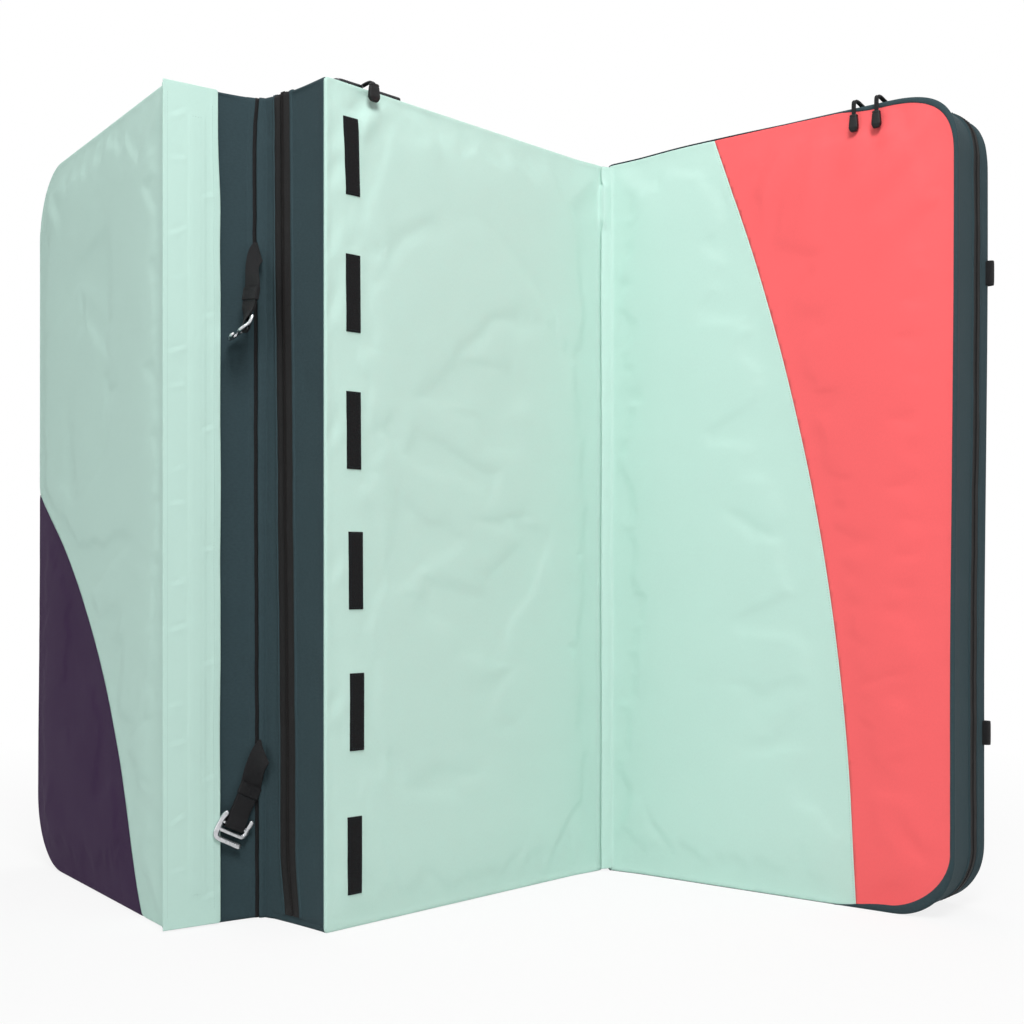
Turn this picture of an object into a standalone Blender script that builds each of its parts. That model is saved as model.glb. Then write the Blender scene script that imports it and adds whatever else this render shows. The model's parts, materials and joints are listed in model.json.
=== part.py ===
"""Three-panel bouldering crash pad, standing half open on its long lower edges.

Units are metres. The panels are laid out in one flat row first: the middle panel runs from x = 0
to x = PANEL_WIDTH, y = 0 is the landing side, y = PANEL_DEPTH is the ground side and z = 0 is the
lower edge. Empties on the two fold axes then turn the outer panels into the standing pose.
"""

import math

import bmesh
import bpy
import numpy as np
from mathutils import Matrix, Vector

# Panels
PANEL_WIDTH = 0.500
PANEL_HEIGHT = 1.000
PANEL_DEPTH = 0.120
CORNER_RADIUS = 0.100
CORNER_STEPS = 6
EDGE_BLEND = 0.060
SEAT_GAP = 0.0003
SHARP_EDGE = math.radians(30)

# Cover fabric and foam layers
COVER = 0.0015
SKIN_FOAM = 0.020
BASE_FOAM = 0.020
EDGE_DROP = 0.006
FOAM_EDGE_EASE = 0.001
FOLD_DROP_SHARE = 0.25
CROWN_RINGS = (0.0, 0.010, 0.028, 0.058, 0.095)
WALL_DRAW = 0.005
WALL_ROWS = (0.020, 0.041, 0.062, 0.100)

# Folds between the panels
OUTER_FOLD_GAP = 0.010
INNER_FOLD_GAP = 0.002
FOLD_STANDOFF = 0.0015
OUTER_FOLD_OPENING = math.radians(101.1)
INNER_FOLD_TURN = math.radians(84.9)
MIDDLE_HEADING = math.radians(46.5)
SEAM_STEPS = 10

# Coloured areas of the landing side, as circles in each panel's own width and height
PURPLE_CENTRE = (-0.343, -0.151)
PURPLE_RADIUS = 0.770
PURPLE_SPAN = (math.radians(5), math.radians(70))
CORAL_CENTRE = (-2.300, -0.026)
CORAL_RADIUS = 2.675
CORAL_SPAN = (math.radians(-3), math.radians(28))
ARC_STEPS = 20

# Closing flap with its hook tape, and the loop patches that it closes on
FLAP_WIDTH = 0.066
FLAP_THICKNESS = 0.0015
FLAP_END_MARGIN = 0.002
FLAP_STANDOFF = 0.002
FLAP_CORNER = 0.002
HOOK_TAPE_START = 0.030
HOOK_TAPE_WIDTH = 0.018
HOOK_TAPE_END_MARGIN = 0.038
TAPE_THICKNESS = 0.0012
PATCH_COUNT = 6
PATCH_START = 0.030
PATCH_WIDTH = 0.025
PATCH_HEIGHT = 0.092
PATCH_END_CENTRE = 0.088
PATCH_THICKNESS = 0.0015

# Zips in the fold wall of the middle panel and the end wall of the inner panel
ZIP_LOW = 0.066
ZIP_HIGH = 0.094
ZIP_TAPE = 0.0012
ZIP_COIL = 0.0026
ZIP_COIL_WIDTH = 0.006
ZIP_FOOT = 0.012
MIDDLE_ZIP_TOP_RUN = 0.130
INNER_ZIP_TOP_START = 0.110
INNER_ZIP_FOOT_ANGLE = math.radians(60)
SLIDER_LENGTH = 0.012
SLIDER_WIDTH = 0.011
SLIDER_HEIGHT = 0.0062
SLIDER_SHOULDER_SHARE = 0.75
MIDDLE_PULL_PLACE = 0.0685
INNER_LEFT_PULL = 0.024
INNER_RIGHT_PULL = 0.006
STEM_RADIUS = 0.0025
PULL_ACROSS_TOP = ((0.065, 0.0), (0.045, 0.001), (0.022, 0.0025), (0.010, 0.003), (0.002, 0.0015))
PULL_OVER_EDGE = ((-0.0022, 0.002), (-0.0030, -0.004))
GRIP_LENGTH = 0.021
GRIP_WIDTH = {"middle": 0.016, "inner_left": 0.012, "inner_right": 0.012}
GRIP_THICKNESS = 0.006
GRIP_STATION_SHARES = ((0.0, 0.55, 0.85), (0.25, 0.85, 1.0), (0.75, 1.0, 1.0), (1.0, 0.7, 0.7))
OCTAGON_SHARES = ((-1, -0.5), (-0.5, -1), (0.5, -1), (1, -0.5), (1, 0.5), (0.5, 1), (-0.5, 1), (-1, 0.5))

# Closing straps with their aluminium hooks
WEBBING_WIDTH = 0.025
WEBBING = 0.0018
WRAP_ANGLES = (-60, -100, -140, -180, -220, -260, -300)
WRAP_NECK = 0.007
WRAP_NECK_SHARE = 0.62
WRAP_MEET = 0.016
HOOK_WIDTH = 0.042
HOOK_PLATE = 0.004
HOOK_ARM = 0.0055
HOOK_BAR = 0.0042
HOOK_THREAD_SLOT = 0.0052
HOOK_MOUTH = 0.0085
HOOK_OUTER_BAR = 0.005
HOOK_TIP_LENGTH = 0.013
HOOK_TIP_RISE = 0.004
HOOK_TIP_END = 0.0028
HOOK_FREE_END = 0.005
KEEPER_LENGTH = 0.010
KEEPER_WALL = 0.001
LOWER_STRAP_EXIT = 0.225
LOWER_STRAP_TILT = math.radians(21)
LOWER_BAR_PLACE = (0.079, 0.112)
LOWER_STRAP_BENDS = (
    ((0.0, 0.0, 0.0), (0.0, 0.0, -1.0)),
    ((0.0, -0.008, 0.0), (0.0, 0.0, -1.0)),
    ((0.005, -0.014, -0.008), (0.0, 0.35, -0.94)),
    ((0.007, -0.018, -0.020), (0.0, 0.75, -0.66)),
    ((0.005, -0.021, -0.037), (0.0, 0.92, -0.40)),
)
LOWER_STRAP_LAY = 0.052
LOWER_TAIL = 0.046
LOWER_KEEPER_PLACE = 0.040
UPPER_STRAP_EXIT_DROP = 0.178
UPPER_HOOK_TILT = math.radians(49)
UPPER_STRAP_YAW = math.radians(20)
UPPER_BAR_DEPTH = 0.088
UPPER_BAR_DROP = 0.287
UPPER_BAR_STANDOFF = 0.024
UPPER_STRAP_BENDS = (
    ((0.0, 0.0, 0.0), (0.0, 0.0, -1.0)),
    ((0.0, -0.008, 0.0), (0.0, 0.0, -1.0)),
    ((0.006, -0.014, -0.009), (0.35, 0.2, -0.9)),
    ((0.012, -0.018, -0.025), (0.80, 0.1, -0.6)),
    ((0.017, -0.023, -0.047), (0.95, -0.2, -0.2)),
)
UPPER_STRAP_LEAN = 0.06
UPPER_STRAP_LAY = 0.036
UPPER_TAIL = 0.040
UPPER_KEEPER_PLACE = 0.032
TOP_STRAP_PLACES = (("first_top_strap", 0.044), ("second_top_strap", 0.104))
TOP_BAR_DEPTH = 0.034
TOP_TAIL = 0.030

# Anchor loops, shoulder harness and haul loop on the inner panel's ground side
LOWER_ANCHOR_HEIGHT = 0.220
UPPER_ANCHOR_DROP = 0.206
ANCHOR_TALL = 0.030
ANCHOR_REACH = 0.010
SHOULDER_SPREAD = 0.105
SHOULDER_DROP = 0.240
SHOULDER_LENGTH = 0.400
SHOULDER_WIDTH = 0.068
SHOULDER_THICKNESS = 0.012
SHOULDER_BOW = 0.012
SHOULDER_STATION_SHARES = (
    (0.0, 0.55, 0.73),
    (0.06, 0.80, 0.88),
    (0.2, 1.0, 1.0),
    (0.5, 1.0, 1.0),
    (0.8, 0.92, 0.95),
    (0.94, 0.75, 0.85),
    (1.0, 0.50, 0.70),
)
SHOULDER_SECTION_SHARES = ((-1, 0.0), (1, 0.0), (1, 0.5), (0.8, 0.9), (0.0, 1.0), (-0.8, 0.9), (-1, 0.5))
HARNESS_LENGTH = 0.180
LOCK_HEIGHT = 0.032
LOCK_SIDE = 0.004
LOCK_THICKNESS = 0.005
HAUL_WIDTH = 0.150
HAUL_DROP = 0.140


class Panel:
    """One foam panel: where it starts in the flat row, its round ends and its fold sides."""

    def __init__(self, name, start, left_radius, right_radius, front_fold, back_fold):
        self.name = name
        self.start = start
        self.left_radius = left_radius
        self.right_radius = right_radius
        self.folds = {"front": front_fold, "back": back_fold}


def clear_scene():
    for item in list(bpy.data.objects):
        bpy.data.objects.remove(item, do_unlink=True)


def make_material(name, color, roughness, metallic=0.0):
    material = bpy.data.materials.new(name)
    material.use_nodes = True
    shader = material.node_tree.nodes["Principled BSDF"]
    shader.inputs["Base Color"].default_value = (*color, 1.0)
    shader.inputs["Roughness"].default_value = roughness
    shader.inputs["Metallic"].default_value = metallic
    return material


def make_materials():
    return {
        "mint": make_material("mint_cover", (0.56, 0.77, 0.68), 0.80),
        "purple": make_material("purple_cover", (0.054, 0.031, 0.068), 0.80),
        "coral": make_material("coral_cover", (1.0, 0.153, 0.165), 0.80),
        "slate": make_material("slate_cover", (0.030, 0.050, 0.057), 0.85),
        "closed_foam": make_material("closed_cell_foam", (0.10, 0.10, 0.11), 0.90),
        "open_foam": make_material("open_cell_foam", (0.55, 0.57, 0.60), 0.95),
        "zip": make_material("zip_tape", (0.012, 0.012, 0.014), 0.60),
        "plastic": make_material("black_plastic", (0.014, 0.015, 0.017), 0.40),
        "webbing": make_material("black_webbing", (0.016, 0.015, 0.017), 0.75),
        "loop_tape": make_material("loop_tape", (0.010, 0.010, 0.011), 0.95),
        "aluminium": make_material("aluminium", (0.70, 0.71, 0.73), 0.30, 1.0),
    }


def make_empty(name, parent, location, turn=0.0):
    empty = bpy.data.objects.new(name, None)
    bpy.context.scene.collection.objects.link(empty)
    empty.parent = parent
    empty.location = location
    empty.rotation_euler = (0.0, 0.0, turn)
    return empty


def add_mesh(name, mesh_data, material, parent, origin=Vector((0, 0, 0))):
    """Make an object from a bmesh whose points are in the flat row, with its origin at a point."""
    bmesh.ops.recalc_face_normals(mesh_data, faces=mesh_data.faces)
    bmesh.ops.translate(mesh_data, vec=-Vector(origin), verts=mesh_data.verts)
    mesh = bpy.data.meshes.new(name)
    mesh_data.to_mesh(mesh)
    mesh_data.free()
    mesh.shade_smooth()
    mesh.set_sharp_from_angle(angle=SHARP_EDGE)
    mesh.materials.append(material)
    item = bpy.data.objects.new(name, mesh)
    bpy.context.scene.collection.objects.link(item)
    item.parent = parent
    return item


def split_quad(mesh_data, corners):
    """Two triangles along the shorter diagonal, so that neighbouring layers fold alike."""
    a, b, c, d = corners
    if (a.co - c.co).length <= (b.co - d.co).length:
        halves = ((a, b, c), (a, c, d))
    else:
        halves = ((a, b, d), (b, c, d))
    for half in halves:
        mesh_data.faces.new(half)


def loft_into(mesh_data, loops, ring=False):
    """Join matching loops of points with triangles; a ring closes on itself, a bar gets end caps."""
    rows = [[mesh_data.verts.new(point) for point in loop] for loop in loops]
    pairs = list(zip(rows, rows[1:]))
    if ring:
        pairs.append((rows[-1], rows[0]))
    for row, following in pairs:
        for index in range(len(row)):
            after = (index + 1) % len(row)
            corners = (row[index], row[after], following[after], following[index])
            split_quad(mesh_data, corners)
    if not ring:
        mesh_data.faces.new(rows[0])
        mesh_data.faces.new(rows[-1])


def loft(name, loops, material, parent, origin=Vector((0, 0, 0)), ring=False):
    mesh_data = bmesh.new()
    loft_into(mesh_data, loops, ring)
    return add_mesh(name, mesh_data, material, parent, origin)


def edge_points(start, end, length):
    """Points between two corners, near enough to each corner to blend its fold side."""
    shares = (EDGE_BLEND / length, 0.5, 1.0 - EDGE_BLEND / length)
    return [(start[0] + (end[0] - start[0]) * t, start[1] + (end[1] - start[1]) * t) for t in shares]


def rim(panel, side, floor=None):
    """The panel's outline, drawn in by one amount at its sides and top and another at its floor."""
    floor = side if floor is None else floor
    corners = (
        (0.0, 0.0, panel.left_radius, 180),
        (PANEL_WIDTH, 0.0, panel.right_radius, 270),
        (PANEL_WIDTH, PANEL_HEIGHT, panel.right_radius, 0),
        (0.0, PANEL_HEIGHT, panel.left_radius, 90),
    )
    runs = []
    for corner_x, corner_z, radius, first_angle in corners:
        inward_x = 1.0 if corner_x == 0.0 else -1.0
        inward_z = 1.0 if corner_z == 0.0 else -1.0
        upright = floor if corner_z == 0.0 else side
        if radius == 0.0:
            runs.append([(corner_x + inward_x * side, corner_z + inward_z * upright)])
            continue
        run = []
        for step in range(CORNER_STEPS + 1):
            angle = math.radians(first_angle + 90.0 * step / CORNER_STEPS)
            run.append((
                corner_x + inward_x * radius + (radius - side) * math.cos(angle),
                corner_z + inward_z * radius + (radius - upright) * math.sin(angle),
            ))
        runs.append(run)
    radii = panel.left_radius + panel.right_radius
    upright_radii = {1: 2 * panel.right_radius, 3: 2 * panel.left_radius}
    points = []
    for index, run in enumerate(runs):
        following = runs[(index + 1) % 4]
        if index in upright_radii:
            length = PANEL_HEIGHT - upright_radii[index]
        else:
            length = PANEL_WIDTH - radii
        points += run + edge_points(run[-1], following[0], length)
    return points


def fold_shares(panel, face):
    """How much of the edge drop each outline point has: less along a fold, where panels meet."""
    fold_x = {"left": 0.0, "right": PANEL_WIDTH, None: None}[panel.folds[face]]
    shares = []
    for x, _ in rim(panel, 0.0):
        on_fold = fold_x is not None and abs(x - fold_x) < SEAT_GAP
        shares.append(FOLD_DROP_SHARE if on_fold else 1.0)
    return shares


def ring_drop(distance):
    """How far the cover falls back from its crest at a distance in from the edge."""
    reach = CROWN_RINGS[-1]
    drops = [EDGE_DROP * (1.0 - ring / reach) ** 2 for ring in CROWN_RINGS]
    return float(np.interp(distance, CROWN_RINGS, drops))


def wall_inset(depth):
    """How far the side walls are drawn in at a depth behind the landing side."""
    rows = (0.0, *WALL_ROWS, PANEL_DEPTH)
    draws = [WALL_DRAW * math.sin(math.pi * row / PANEL_DEPTH) for row in rows]
    return float(np.interp(depth, rows, draws))


def skin_loop(panel, face, distance, depth):
    """A loop of the crowned cover, at a distance in from the edge and a depth under its surface."""
    loop = []
    for (x, z), share in zip(rim(panel, distance), fold_shares(panel, face)):
        fall = ring_drop(distance) * share + depth
        y = fall if face == "front" else PANEL_DEPTH - fall
        loop.append((panel.start + x, y, z))
    return loop


def flat_loop(panel, y, side, floor):
    return [(panel.start + x, y, z) for x, z in rim(panel, side, floor)]


def rim_loop(panel, face, extra):
    """The edge of the side band where it meets a cover sheet."""
    loop = []
    for index, share in enumerate(fold_shares(panel, face)):
        fall = ring_drop(0.0) * share + COVER + SEAT_GAP
        y = fall if face == "front" else PANEL_DEPTH - fall
        x, z = rim(panel, wall_inset(y) + extra, extra)[index]
        loop.append((panel.start + x, y, z))
    return loop


def cover_sheet(name, panel, face, material, parent, origin):
    outer = [skin_loop(panel, face, ring, 0.0) for ring in reversed(CROWN_RINGS)]
    inner = [skin_loop(panel, face, ring, COVER) for ring in CROWN_RINGS]
    return loft(name, outer + inner, material, parent, origin)


def side_band(name, panel, material, parent, origin):
    def rows(extra):
        walls = [flat_loop(panel, row, wall_inset(row) + extra, extra) for row in WALL_ROWS]
        return [rim_loop(panel, "front", extra)] + walls + [rim_loop(panel, "back", extra)]

    return loft(name, rows(0.0) + rows(COVER)[::-1], material, parent, origin, ring=True)


def skin_foam(name, panel, face, layer, material, parent, origin):
    """A foam layer that lies under a crowned cover sheet and is flat on its other side."""
    margin = COVER + SEAT_GAP
    flat_y = layer - SEAT_GAP / 2 if face == "front" else PANEL_DEPTH - layer + SEAT_GAP / 2
    side = margin + wall_inset(flat_y)
    rings = [ring for ring in reversed(CROWN_RINGS) if ring > side]
    loops = [skin_loop(panel, face, ring, margin) for ring in rings]
    loops.append(skin_loop(panel, face, side, margin + FOAM_EDGE_EASE))
    loops.append(flat_loop(panel, flat_y, side, side))
    return loft(name, loops, material, parent, origin)


def core_foam(name, panel, material, parent, origin):
    margin = COVER + SEAT_GAP
    first = SKIN_FOAM + SEAT_GAP / 2
    last = PANEL_DEPTH - BASE_FOAM - SEAT_GAP / 2
    rows = [first] + [row for row in WALL_ROWS if first < row < last] + [last]
    loops = [flat_loop(panel, row, wall_inset(row) + margin, margin) for row in rows]
    return loft(name, loops, material, parent, origin)


def disc_cutter(name, panel, centre, radius, span, parent, origin):
    """A flat sector of a circle, thick enough to cut a cover sheet right through."""
    corner = (panel.start + centre[0], centre[1])
    outline = [corner]
    for step in range(ARC_STEPS + 1):
        angle = span[0] + (span[1] - span[0]) * step / ARC_STEPS
        outline.append((corner[0] + radius * math.cos(angle), corner[1] + radius * math.sin(angle)))
    reach = EDGE_DROP + COVER
    loops = [[(x, y, z) for x, z in outline] for y in (-reach, 2 * reach)]
    cutter = loft(name, loops, None, parent, origin)
    cutter.hide_render = True
    cutter.display_type = "WIRE"
    return cutter


def cut(item, cutter, operation):
    modifier = item.modifiers.new(operation.lower(), "BOOLEAN")
    modifier.object = cutter
    modifier.operation = operation
    modifier.solver = "EXACT"


def two_colour_sheet(panel, names, materials, disc, parent, origin):
    """The landing sheet as two sewn pieces: one inside the circle and one outside it."""
    centre, radius, span = disc
    for name, material, offset, operation in (
        (names[0], materials[0], -SEAT_GAP / 2, "INTERSECT"),
        (names[1], materials[1], SEAT_GAP / 2, "DIFFERENCE"),
    ):
        sheet = cover_sheet(name, panel, "front", material, parent, origin)
        cutter = disc_cutter(name + "_cutter", panel, centre, radius + offset, span, parent, origin)
        cut(sheet, cutter, operation)


def foam_filling(panel, looks, parent, origin):
    closed = looks["closed_foam"]
    skin_foam(panel.name + "_landing_foam", panel, "front", SKIN_FOAM, closed, parent, origin)
    core_foam(panel.name + "_core_foam", panel, looks["open_foam"], parent, origin)
    skin_foam(panel.name + "_ground_foam", panel, "back", BASE_FOAM, closed, parent, origin)


def fold_seam(name, centre, distance, material, parent):
    """The sewn roll of fabric on a fold axis, which both panels' corners turn round."""
    radius = distance - SEAT_GAP
    loops = []
    for z in (SEAT_GAP, PANEL_HEIGHT - SEAT_GAP):
        loop = []
        for step in range(SEAM_STEPS):
            angle = 2 * math.pi * step / SEAM_STEPS
            loop.append((centre.x + radius * math.cos(angle), centre.y + radius * math.sin(angle), z))
        loops.append(loop)
    return loft(name, loops, material, parent)


def closing_flap(panel, looks, parent, origin):
    """A strip hinged on the outer panel's front edge, lying along its fold wall, tape inwards."""
    near = origin.x
    low = FLAP_END_MARGIN
    high = PANEL_HEIGHT - FLAP_END_MARGIN
    outline = [
        (origin.y, low),
        (FLAP_WIDTH - FLAP_CORNER, low),
        (FLAP_WIDTH, low + FLAP_CORNER),
        (FLAP_WIDTH, high - FLAP_CORNER),
        (FLAP_WIDTH - FLAP_CORNER, high),
        (origin.y, high),
    ]
    loops = [[(x, y, z) for y, z in outline] for x in (near, near + FLAP_THICKNESS)]
    loft("closing_flap", loops, looks["mint"], parent, origin)
    tape_end = HOOK_TAPE_START + HOOK_TAPE_WIDTH
    tape_low = HOOK_TAPE_END_MARGIN
    tape_high = PANEL_HEIGHT - HOOK_TAPE_END_MARGIN
    corners = (
        (HOOK_TAPE_START, tape_low),
        (tape_end, tape_low),
        (tape_end, tape_high),
        (HOOK_TAPE_START, tape_high),
    )
    outer = near - SEAT_GAP
    loops = [[(x, y, z) for y, z in corners] for x in (outer - TAPE_THICKNESS, outer)]
    loft("flap_hook_tape", loops, looks["loop_tape"], parent, origin)


def loop_patches(panel, looks, parent):
    """Loop patches along the middle panel's fold edge, each lying on the slope of the cover."""
    near = PATCH_START
    far = PATCH_START + PATCH_WIDTH
    lift = SEAT_GAP + PATCH_THICKNESS
    section = [
        (near, ring_drop(near) - SEAT_GAP),
        (far, ring_drop(far) - SEAT_GAP),
        (far, ring_drop(far) - lift),
        (near, ring_drop(near) - lift),
    ]
    pitch = (PANEL_HEIGHT - 2 * PATCH_END_CENTRE) / (PATCH_COUNT - 1)
    for number in range(PATCH_COUNT):
        centre = PATCH_END_CENTRE + number * pitch
        ends = (centre - PATCH_HEIGHT / 2, centre + PATCH_HEIGHT / 2)
        loops = [[(x, y, z) for x, y in section] for z in ends]
        loft(f"loop_patch_{number + 1}", loops, looks["loop_tape"], parent)


def zip_profile():
    """The zip's cross-section: tape with a raised coil, as depth on the wall and height off it."""
    middle = (ZIP_LOW + ZIP_HIGH) / 2
    half = ZIP_COIL_WIDTH / 2
    slope = ZIP_COIL - ZIP_TAPE
    return [
        (ZIP_LOW, 0.0),
        (ZIP_LOW, ZIP_TAPE),
        (middle - half, ZIP_TAPE),
        (middle - half + slope / 2, ZIP_COIL),
        (middle + half - slope / 2, ZIP_COIL),
        (middle + half, ZIP_TAPE),
        (ZIP_HIGH, ZIP_TAPE),
        (ZIP_HIGH, 0.0),
    ]


def middle_zip_path(inset):
    top = PANEL_HEIGHT - inset
    return [(inset, ZIP_FOOT), (inset, PANEL_HEIGHT / 2), (inset, top), (MIDDLE_ZIP_TOP_RUN, top)]


def inner_zip_path(inset):
    """Along the top wall, round the upper corner, down the end wall and into the lower corner."""
    centre_x = PANEL_WIDTH - CORNER_RADIUS
    radius = CORNER_RADIUS - inset
    upper = PANEL_HEIGHT - CORNER_RADIUS
    points = [(INNER_ZIP_TOP_START, PANEL_HEIGHT - inset)]
    for step in range(CORNER_STEPS + 1):
        angle = math.pi / 2 * (1.0 - step / CORNER_STEPS)
        points.append((centre_x + radius * math.cos(angle), upper + radius * math.sin(angle)))
    steps = CORNER_STEPS * 2 // 3
    for step in range(steps + 1):
        angle = -INNER_ZIP_FOOT_ANGLE * step / steps
        floor_radius = CORNER_RADIUS + (ZIP_COIL if inset < 0 else 0.0)
        height = CORNER_RADIUS + floor_radius * math.sin(angle)
        points.append((centre_x + radius * math.cos(angle), height))
    return points


def zipper(name, panel, path, looks, parent, origin):
    sections = [path(wall_inset(depth) - SEAT_GAP - height) for depth, height in zip_profile()]
    depths = [depth for depth, _ in zip_profile()]
    loops = []
    for station in range(len(sections[0])):
        loop = []
        for depth, section in zip(depths, sections):
            x, z = section[station]
            loop.append((panel.start + x, depth, z))
        loops.append(loop)
    loft(name, loops, looks["zip"], parent, origin)


def top_wall_height(depth):
    return PANEL_HEIGHT - wall_inset(depth) + SEAT_GAP


def slider_centre():
    return (ZIP_LOW + ZIP_HIGH) / 2


def slider_height():
    return top_wall_height(slider_centre()) + SLIDER_HEIGHT


def zip_slider(name, x, looks, parent, origin):
    """A slider that straddles the coil, with a channel along its underside."""
    middle = slider_centre()
    half = SLIDER_WIDTH / 2
    channel = ZIP_COIL_WIDTH / 2 + SEAT_GAP
    foot = ZIP_TAPE + SEAT_GAP
    roof = ZIP_COIL + SEAT_GAP
    shoulder = SLIDER_HEIGHT * SLIDER_SHOULDER_SHARE
    section = [
        (middle - half, foot),
        (middle - channel, foot),
        (middle - channel, roof),
        (middle + channel, roof),
        (middle + channel, foot),
        (middle + half, foot),
        (middle + half, shoulder),
        (middle + half / 2, SLIDER_HEIGHT),
        (middle - half / 2, SLIDER_HEIGHT),
        (middle - half, shoulder),
    ]
    loops = []
    for end in (x - SLIDER_LENGTH / 2, x + SLIDER_LENGTH / 2):
        loops.append([(end, depth, top_wall_height(depth) + height) for depth, height in section])
    loft(name, loops, looks["plastic"], parent, origin)


def stem_height():
    """The line that a pull's stem starts on, just clear of its slider, and turns about."""
    return slider_height() + SEAT_GAP + STEM_RADIUS


def pull_route(x):
    """The pull's stem: forward over the top wall, over the front edge and down to its grip."""
    start = stem_height()
    route = [Vector((x, slider_centre(), start))]
    route += [Vector((x, depth, start + rise)) for depth, rise in PULL_ACROSS_TOP]
    route += [Vector((x, depth, PANEL_HEIGHT + rise)) for depth, rise in PULL_OVER_EDGE]
    return route


def tube(name, points, radius, material, parent, origin):
    curve = bpy.data.curves.new(name, "CURVE")
    curve.dimensions = "3D"
    curve.bevel_depth = radius
    curve.bevel_resolution = 2
    curve.use_fill_caps = True
    spline = curve.splines.new("POLY")
    spline.points.add(len(points) - 1)
    for point, place in zip(spline.points, points):
        point.co = (*(place - origin), 1.0)
    curve.materials.append(material)
    item = bpy.data.objects.new(name, curve)
    bpy.context.scene.collection.objects.link(item)
    item.parent = parent
    return item


def zip_pull(label, x, looks, parent, origin):
    """A stem that hangs over the front edge and the moulded grip on its end."""
    route = pull_route(x)
    tube(f"{label}_pull_stem", route, STEM_RADIUS, looks["plastic"], parent, origin)
    end = route[-1]
    top = end.z - SEAT_GAP
    half_depth = GRIP_THICKNESS / 2
    half_width = GRIP_WIDTH[label] / 2
    loops = []
    for share, width, depth in GRIP_STATION_SHARES:
        z = top - share * GRIP_LENGTH
        a = half_width * width
        b = half_depth * depth
        loops.append([(x + a * u, end.y + b * v, z) for u, v in OCTAGON_SHARES])
    loft(f"{label}_pull_grip", loops, looks["plastic"], parent, origin)


def ribbon_loops(stations, width, thickness):
    """Sections of flat webbing: each station is its centre and the direction across its width."""
    loops = []
    last = len(stations) - 1
    for index, (centre, across) in enumerate(stations):
        before = stations[max(index - 1, 0)][0]
        after = stations[min(index + 1, last)][0]
        along = (after - before).normalized()
        across = (across - along * across.dot(along)).normalized()
        facing = along.cross(across).normalized()
        half = across * width / 2
        thick = facing * thickness / 2
        loops.append([centre + half * u + thick * v for u, v in ((-1, -1), (1, -1), (1, 1), (-1, 1))])
    return loops


def strap_frame(bar_centre, across, along):
    """Axes of a hook and its webbing: x across, y along the strap away from the hook, z outwards."""
    across = across.normalized()
    along = (along - across * along.dot(across)).normalized()
    out = across.cross(along)
    return Matrix((
        (across.x, along.x, out.x, bar_centre.x),
        (across.y, along.y, out.y, bar_centre.y),
        (across.z, along.z, out.z, bar_centre.z),
        (0.0, 0.0, 0.0, 1.0),
    ))


def under_layer():
    """How far the middle of each webbing layer lies from the plane between the two layers."""
    return SEAT_GAP / 2 + WEBBING / 2


def bar_wrap_radius():
    """Middle of the webbing where it turns round the hook's square bar."""
    return math.hypot(HOOK_BAR / 2, HOOK_PLATE / 2) + SEAT_GAP + WEBBING / 2


def strap_webbing(name, frame, root_points, tail, looks, parent, origin):
    """Webbing from its sewn root to the hook's bar, round the bar and back over itself."""
    across = frame.to_3x3().col[0]
    turn = bar_wrap_radius()
    near = under_layer()
    stations = list(root_points)
    neck = turn * WRAP_NECK_SHARE
    for along, out in ((WRAP_MEET, -near), (WRAP_NECK, -neck)):
        stations.append((frame @ Vector((0.0, along, out)), across))
    for degrees in WRAP_ANGLES:
        angle = math.radians(degrees)
        place = Vector((0.0, turn * math.cos(angle), turn * math.sin(angle)))
        stations.append((frame @ place, across))
    for along, out in ((WRAP_NECK, neck), (WRAP_MEET, near), (tail, near)):
        stations.append((frame @ Vector((0.0, along, out)), across))
    loft(name, ribbon_loops(stations, WEBBING_WIDTH, WEBBING), looks["webbing"], parent, origin)


def strap_keeper(name, frame, place, looks, parent, origin):
    """A short sleeve round both layers of webbing."""
    half_width = WEBBING_WIDTH / 2 + SEAT_GAP
    half_depth = WEBBING + SEAT_GAP * 1.5

    def section(along, grow):
        a = half_width + grow
        c = half_depth + grow
        corners = ((-a, -c), (a, -c), (a, c), (-a, c))
        return [frame @ Vector((u, along, w)) for u, w in corners]

    near = place - KEEPER_LENGTH / 2
    far = place + KEEPER_LENGTH / 2
    outside = [section(near, KEEPER_WALL), section(far, KEEPER_WALL)]
    inside = [section(far, 0.0), section(near, 0.0)]
    loft(name, outside + inside, looks["webbing"], parent, origin, ring=True)


def plate_loops(frame, outline, reach):
    """A flat outline in a hook's own axes, at both ends of a thickness."""
    return [[frame @ Vector((a, b, c)) for a, b in outline] for c in (-reach, reach)]


def hook_outline():
    """The hook's flat shape: a frame round the webbing slot and an open mouth beyond it."""
    half = HOOK_WIDTH / 2
    inner = half - HOOK_ARM
    bar_top = HOOK_BAR / 2
    inner_bar_high = -(HOOK_BAR / 2 + HOOK_THREAD_SLOT)
    inner_bar_low = inner_bar_high - HOOK_BAR
    outer_high = inner_bar_low - HOOK_MOUTH
    outer_low = outer_high - HOOK_OUTER_BAR
    bevel = HOOK_ARM / 2
    return [
        (-half, bar_top),
        (-half, outer_low + bevel),
        (-half + bevel, outer_low),
        (half - HOOK_FREE_END - bevel / 2, outer_low),
        (half - HOOK_FREE_END, outer_low + bevel / 2),
        (half - HOOK_FREE_END, outer_high - bevel / 2),
        (half - HOOK_FREE_END - bevel / 2, outer_high),
        (-inner, outer_high),
        (-inner, inner_bar_low),
        (half - bevel, inner_bar_low),
        (half, inner_bar_low + bevel),
        (half, bar_top),
    ]


def hook_slot():
    inner = HOOK_WIDTH / 2 - HOOK_ARM
    high = -HOOK_BAR / 2
    low = high - HOOK_THREAD_SLOT
    return [(-inner, low), (inner, low), (inner, high), (-inner, high)]


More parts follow.
